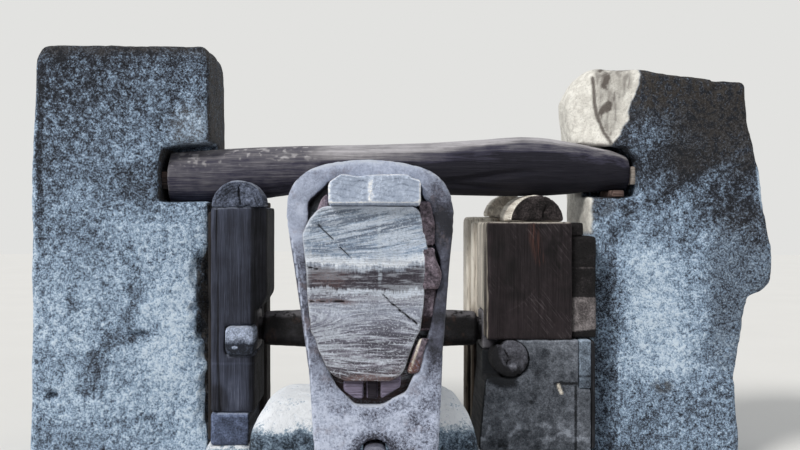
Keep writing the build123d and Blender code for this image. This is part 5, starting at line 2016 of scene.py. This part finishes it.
class TRIPHAMMER_OT_anvil(bpy.types.Operator):
    """Carve and finish the anvil, its die and its wedges"""

    bl_idname = "triphammer.anvil"
    bl_label = "Anvil"

    def execute(self, context):
        block = iron(
            "anvil_iron",
            tone(128, 132, 144),
            tone(60, 62, 70),
            tone(84, 66, 58),
            metallic=0.4,
            dust=tone(150, 150, 154),
        )
        dress("anvil_block", forged(seed=223, relief=0.003, wear=0.008), block, cell=0.006)
        worn = iron(
            "anvil_die_iron", tone(158, 158, 160), tone(88, 86, 88), tone(92, 76, 68), metallic=0.8
        )
        dress("anvil_die", forged(seed=227, relief=0.0012, wear=0.005), worn, cell=0.005)
        wedge = timber("anvil_wedge_wood", tone(122, 108, 94), tone(56, 47, 42), Z)
        dress(
            "anvil_wedges",
            worn_timber(Z, seed=229, groove=0.003, split=0.006, wear=0.006),
            wedge,
            cell=0.005,
        )
        return {"FINISHED"}


class TRIPHAMMER_OT_studio(bpy.types.Operator):
    """Set up the floor, the light and the camera"""

    bl_idname = "triphammer.studio"
    bl_label = "Studio"

    def execute(self, context):
        scene = context.scene
        studio = scene.hammer_studio
        scene.view_settings.view_transform = "Standard"
        sheet = bpy.data.meshes.new("studio_floor")
        shape = bmesh.new()
        bmesh.ops.create_circle(shape, cap_ends=True, radius=floor_radius, segments=floor_sides)
        shape.to_mesh(sheet)
        shape.free()
        floor = bpy.data.objects.new("studio_floor", sheet)
        scene.collection.objects.link(floor)
        finish = Finish("studio_floor", 0.95)
        colour = tuple(studio.floor)
        shade = finish.share(finish.clouds(0.9, 3.0, 0.5), 0.2, 0.8)
        sheet.materials.append(
            finish.done(finish.mix(shade, tuple(0.97 * v for v in colour), colour))
        )

        world = bpy.data.worlds.new("studio_sky")
        scene.world = world
        world.use_nodes = True
        tree = world.node_tree
        tree.nodes.clear()
        even = tree.nodes.new("ShaderNodeBackground")
        even.inputs["Color"].default_value = sky_colour
        even.inputs["Strength"].default_value = studio.sky
        seen = tree.nodes.new("ShaderNodeBackground")
        seen.inputs["Color"].default_value = (*tone(226, 226, 224), 1.0)
        seen.inputs["Strength"].default_value = 1.0
        rays = tree.nodes.new("ShaderNodeLightPath")
        direct = rays.outputs["Is Camera Ray"]
        for kind in ("Is Glossy Ray", "Is Transmission Ray"):
            either = tree.nodes.new("ShaderNodeMath")
            either.operation = "MAXIMUM"
            tree.links.new(direct, either.inputs[0])
            tree.links.new(rays.outputs[kind], either.inputs[1])
            direct = either.outputs[0]
        choose = tree.nodes.new("ShaderNodeMixShader")
        tree.links.new(direct, choose.inputs[0])
        tree.links.new(even.outputs[0], choose.inputs[1])
        tree.links.new(seen.outputs[0], choose.inputs[2])
        out = tree.nodes.new("ShaderNodeOutputWorld")
        tree.links.new(choose.outputs[0], out.inputs["Surface"])

        lamp = bpy.data.lights.new("key_light", "SUN")
        lamp.energy = studio.sun
        lamp.angle = math.radians(light_width)
        lamp.color = light_colour
        key = bpy.data.objects.new("key_light", lamp)
        key.rotation_euler = Vector(light_way).to_track_quat("-Z", "Y").to_euler()
        scene.collection.objects.link(key)

        lens = bpy.data.cameras.new("photo_camera")
        lens.sensor_width = film_width
        lens.lens = film_width * photo_focal / photo_width
        lens.shift_x = photo_right / photo_width
        lens.shift_y = -photo_down / photo_width
        camera = bpy.data.objects.new("photo_camera", lens)
        camera.location = Vector(spot(*eye))
        camera.rotation_euler = (math.radians(90), 0.0, 0.0)
        scene.collection.objects.link(camera)
        scene.camera = camera
        return {"FINISHED"}


class TRIPHAMMER_PT_panel(bpy.types.Panel):
    """The sidebar's list of pieces to build, and the values they are built with"""

    bl_idname = "TRIPHAMMER_PT_panel"
    bl_label = "Trip Hammer"
    bl_space_type = "VIEW_3D"
    bl_region_type = "UI"
    bl_category = "Trip Hammer"

    def draw(self, context):
        layout = self.layout
        for operator in operators:
            layout.operator(operator.bl_idname)
        for name, _ in groups:
            values = getattr(context.scene, name)
            column = layout.column(align=True)
            for key in values.__annotations__:
                column.prop(values, key)


operators = (
    TRIPHAMMER_OT_studio,
    TRIPHAMMER_OT_pillars,
    TRIPHAMMER_OT_ground_stones,
    TRIPHAMMER_OT_crossbeam,
    TRIPHAMMER_OT_bolsters,
    TRIPHAMMER_OT_left_stack,
    TRIPHAMMER_OT_right_stack,
    TRIPHAMMER_OT_helve,
    TRIPHAMMER_OT_wedges,
    TRIPHAMMER_OT_head,
    TRIPHAMMER_OT_trunnions,
    TRIPHAMMER_OT_anvil,
)
groups = (
    ("hammer_stone", HammerStone),
    ("hammer_timber", HammerTimber),
    ("hammer_iron", HammerIron),
    ("hammer_studio", HammerStudio),
)


def register():
    for name, group in groups:
        bpy.utils.register_class(group)
        setattr(bpy.types.Scene, name, PointerProperty(type=group))
    for operator in operators:
        bpy.utils.register_class(operator)
    bpy.utils.register_class(TRIPHAMMER_PT_panel)


def unregister():
    bpy.utils.unregister_class(TRIPHAMMER_PT_panel)
    for operator in reversed(operators):
        bpy.utils.unregister_class(operator)
    for name, group in reversed(groups):
        delattr(bpy.types.Scene, name)
        bpy.utils.unregister_class(group)


def main():
    register()
    bpy.ops.triphammer.studio()
    bpy.ops.triphammer.pillars()
    bpy.ops.triphammer.ground_stones()
    bpy.ops.triphammer.crossbeam()
    bpy.ops.triphammer.bolsters()
    bpy.ops.triphammer.left_stack()
    bpy.ops.triphammer.right_stack()
    bpy.ops.triphammer.helve()
    bpy.ops.triphammer.wedges()
    bpy.ops.triphammer.head()
    bpy.ops.triphammer.trunnions()
    bpy.ops.triphammer.anvil()


if __name__ == "__main__":
    main()
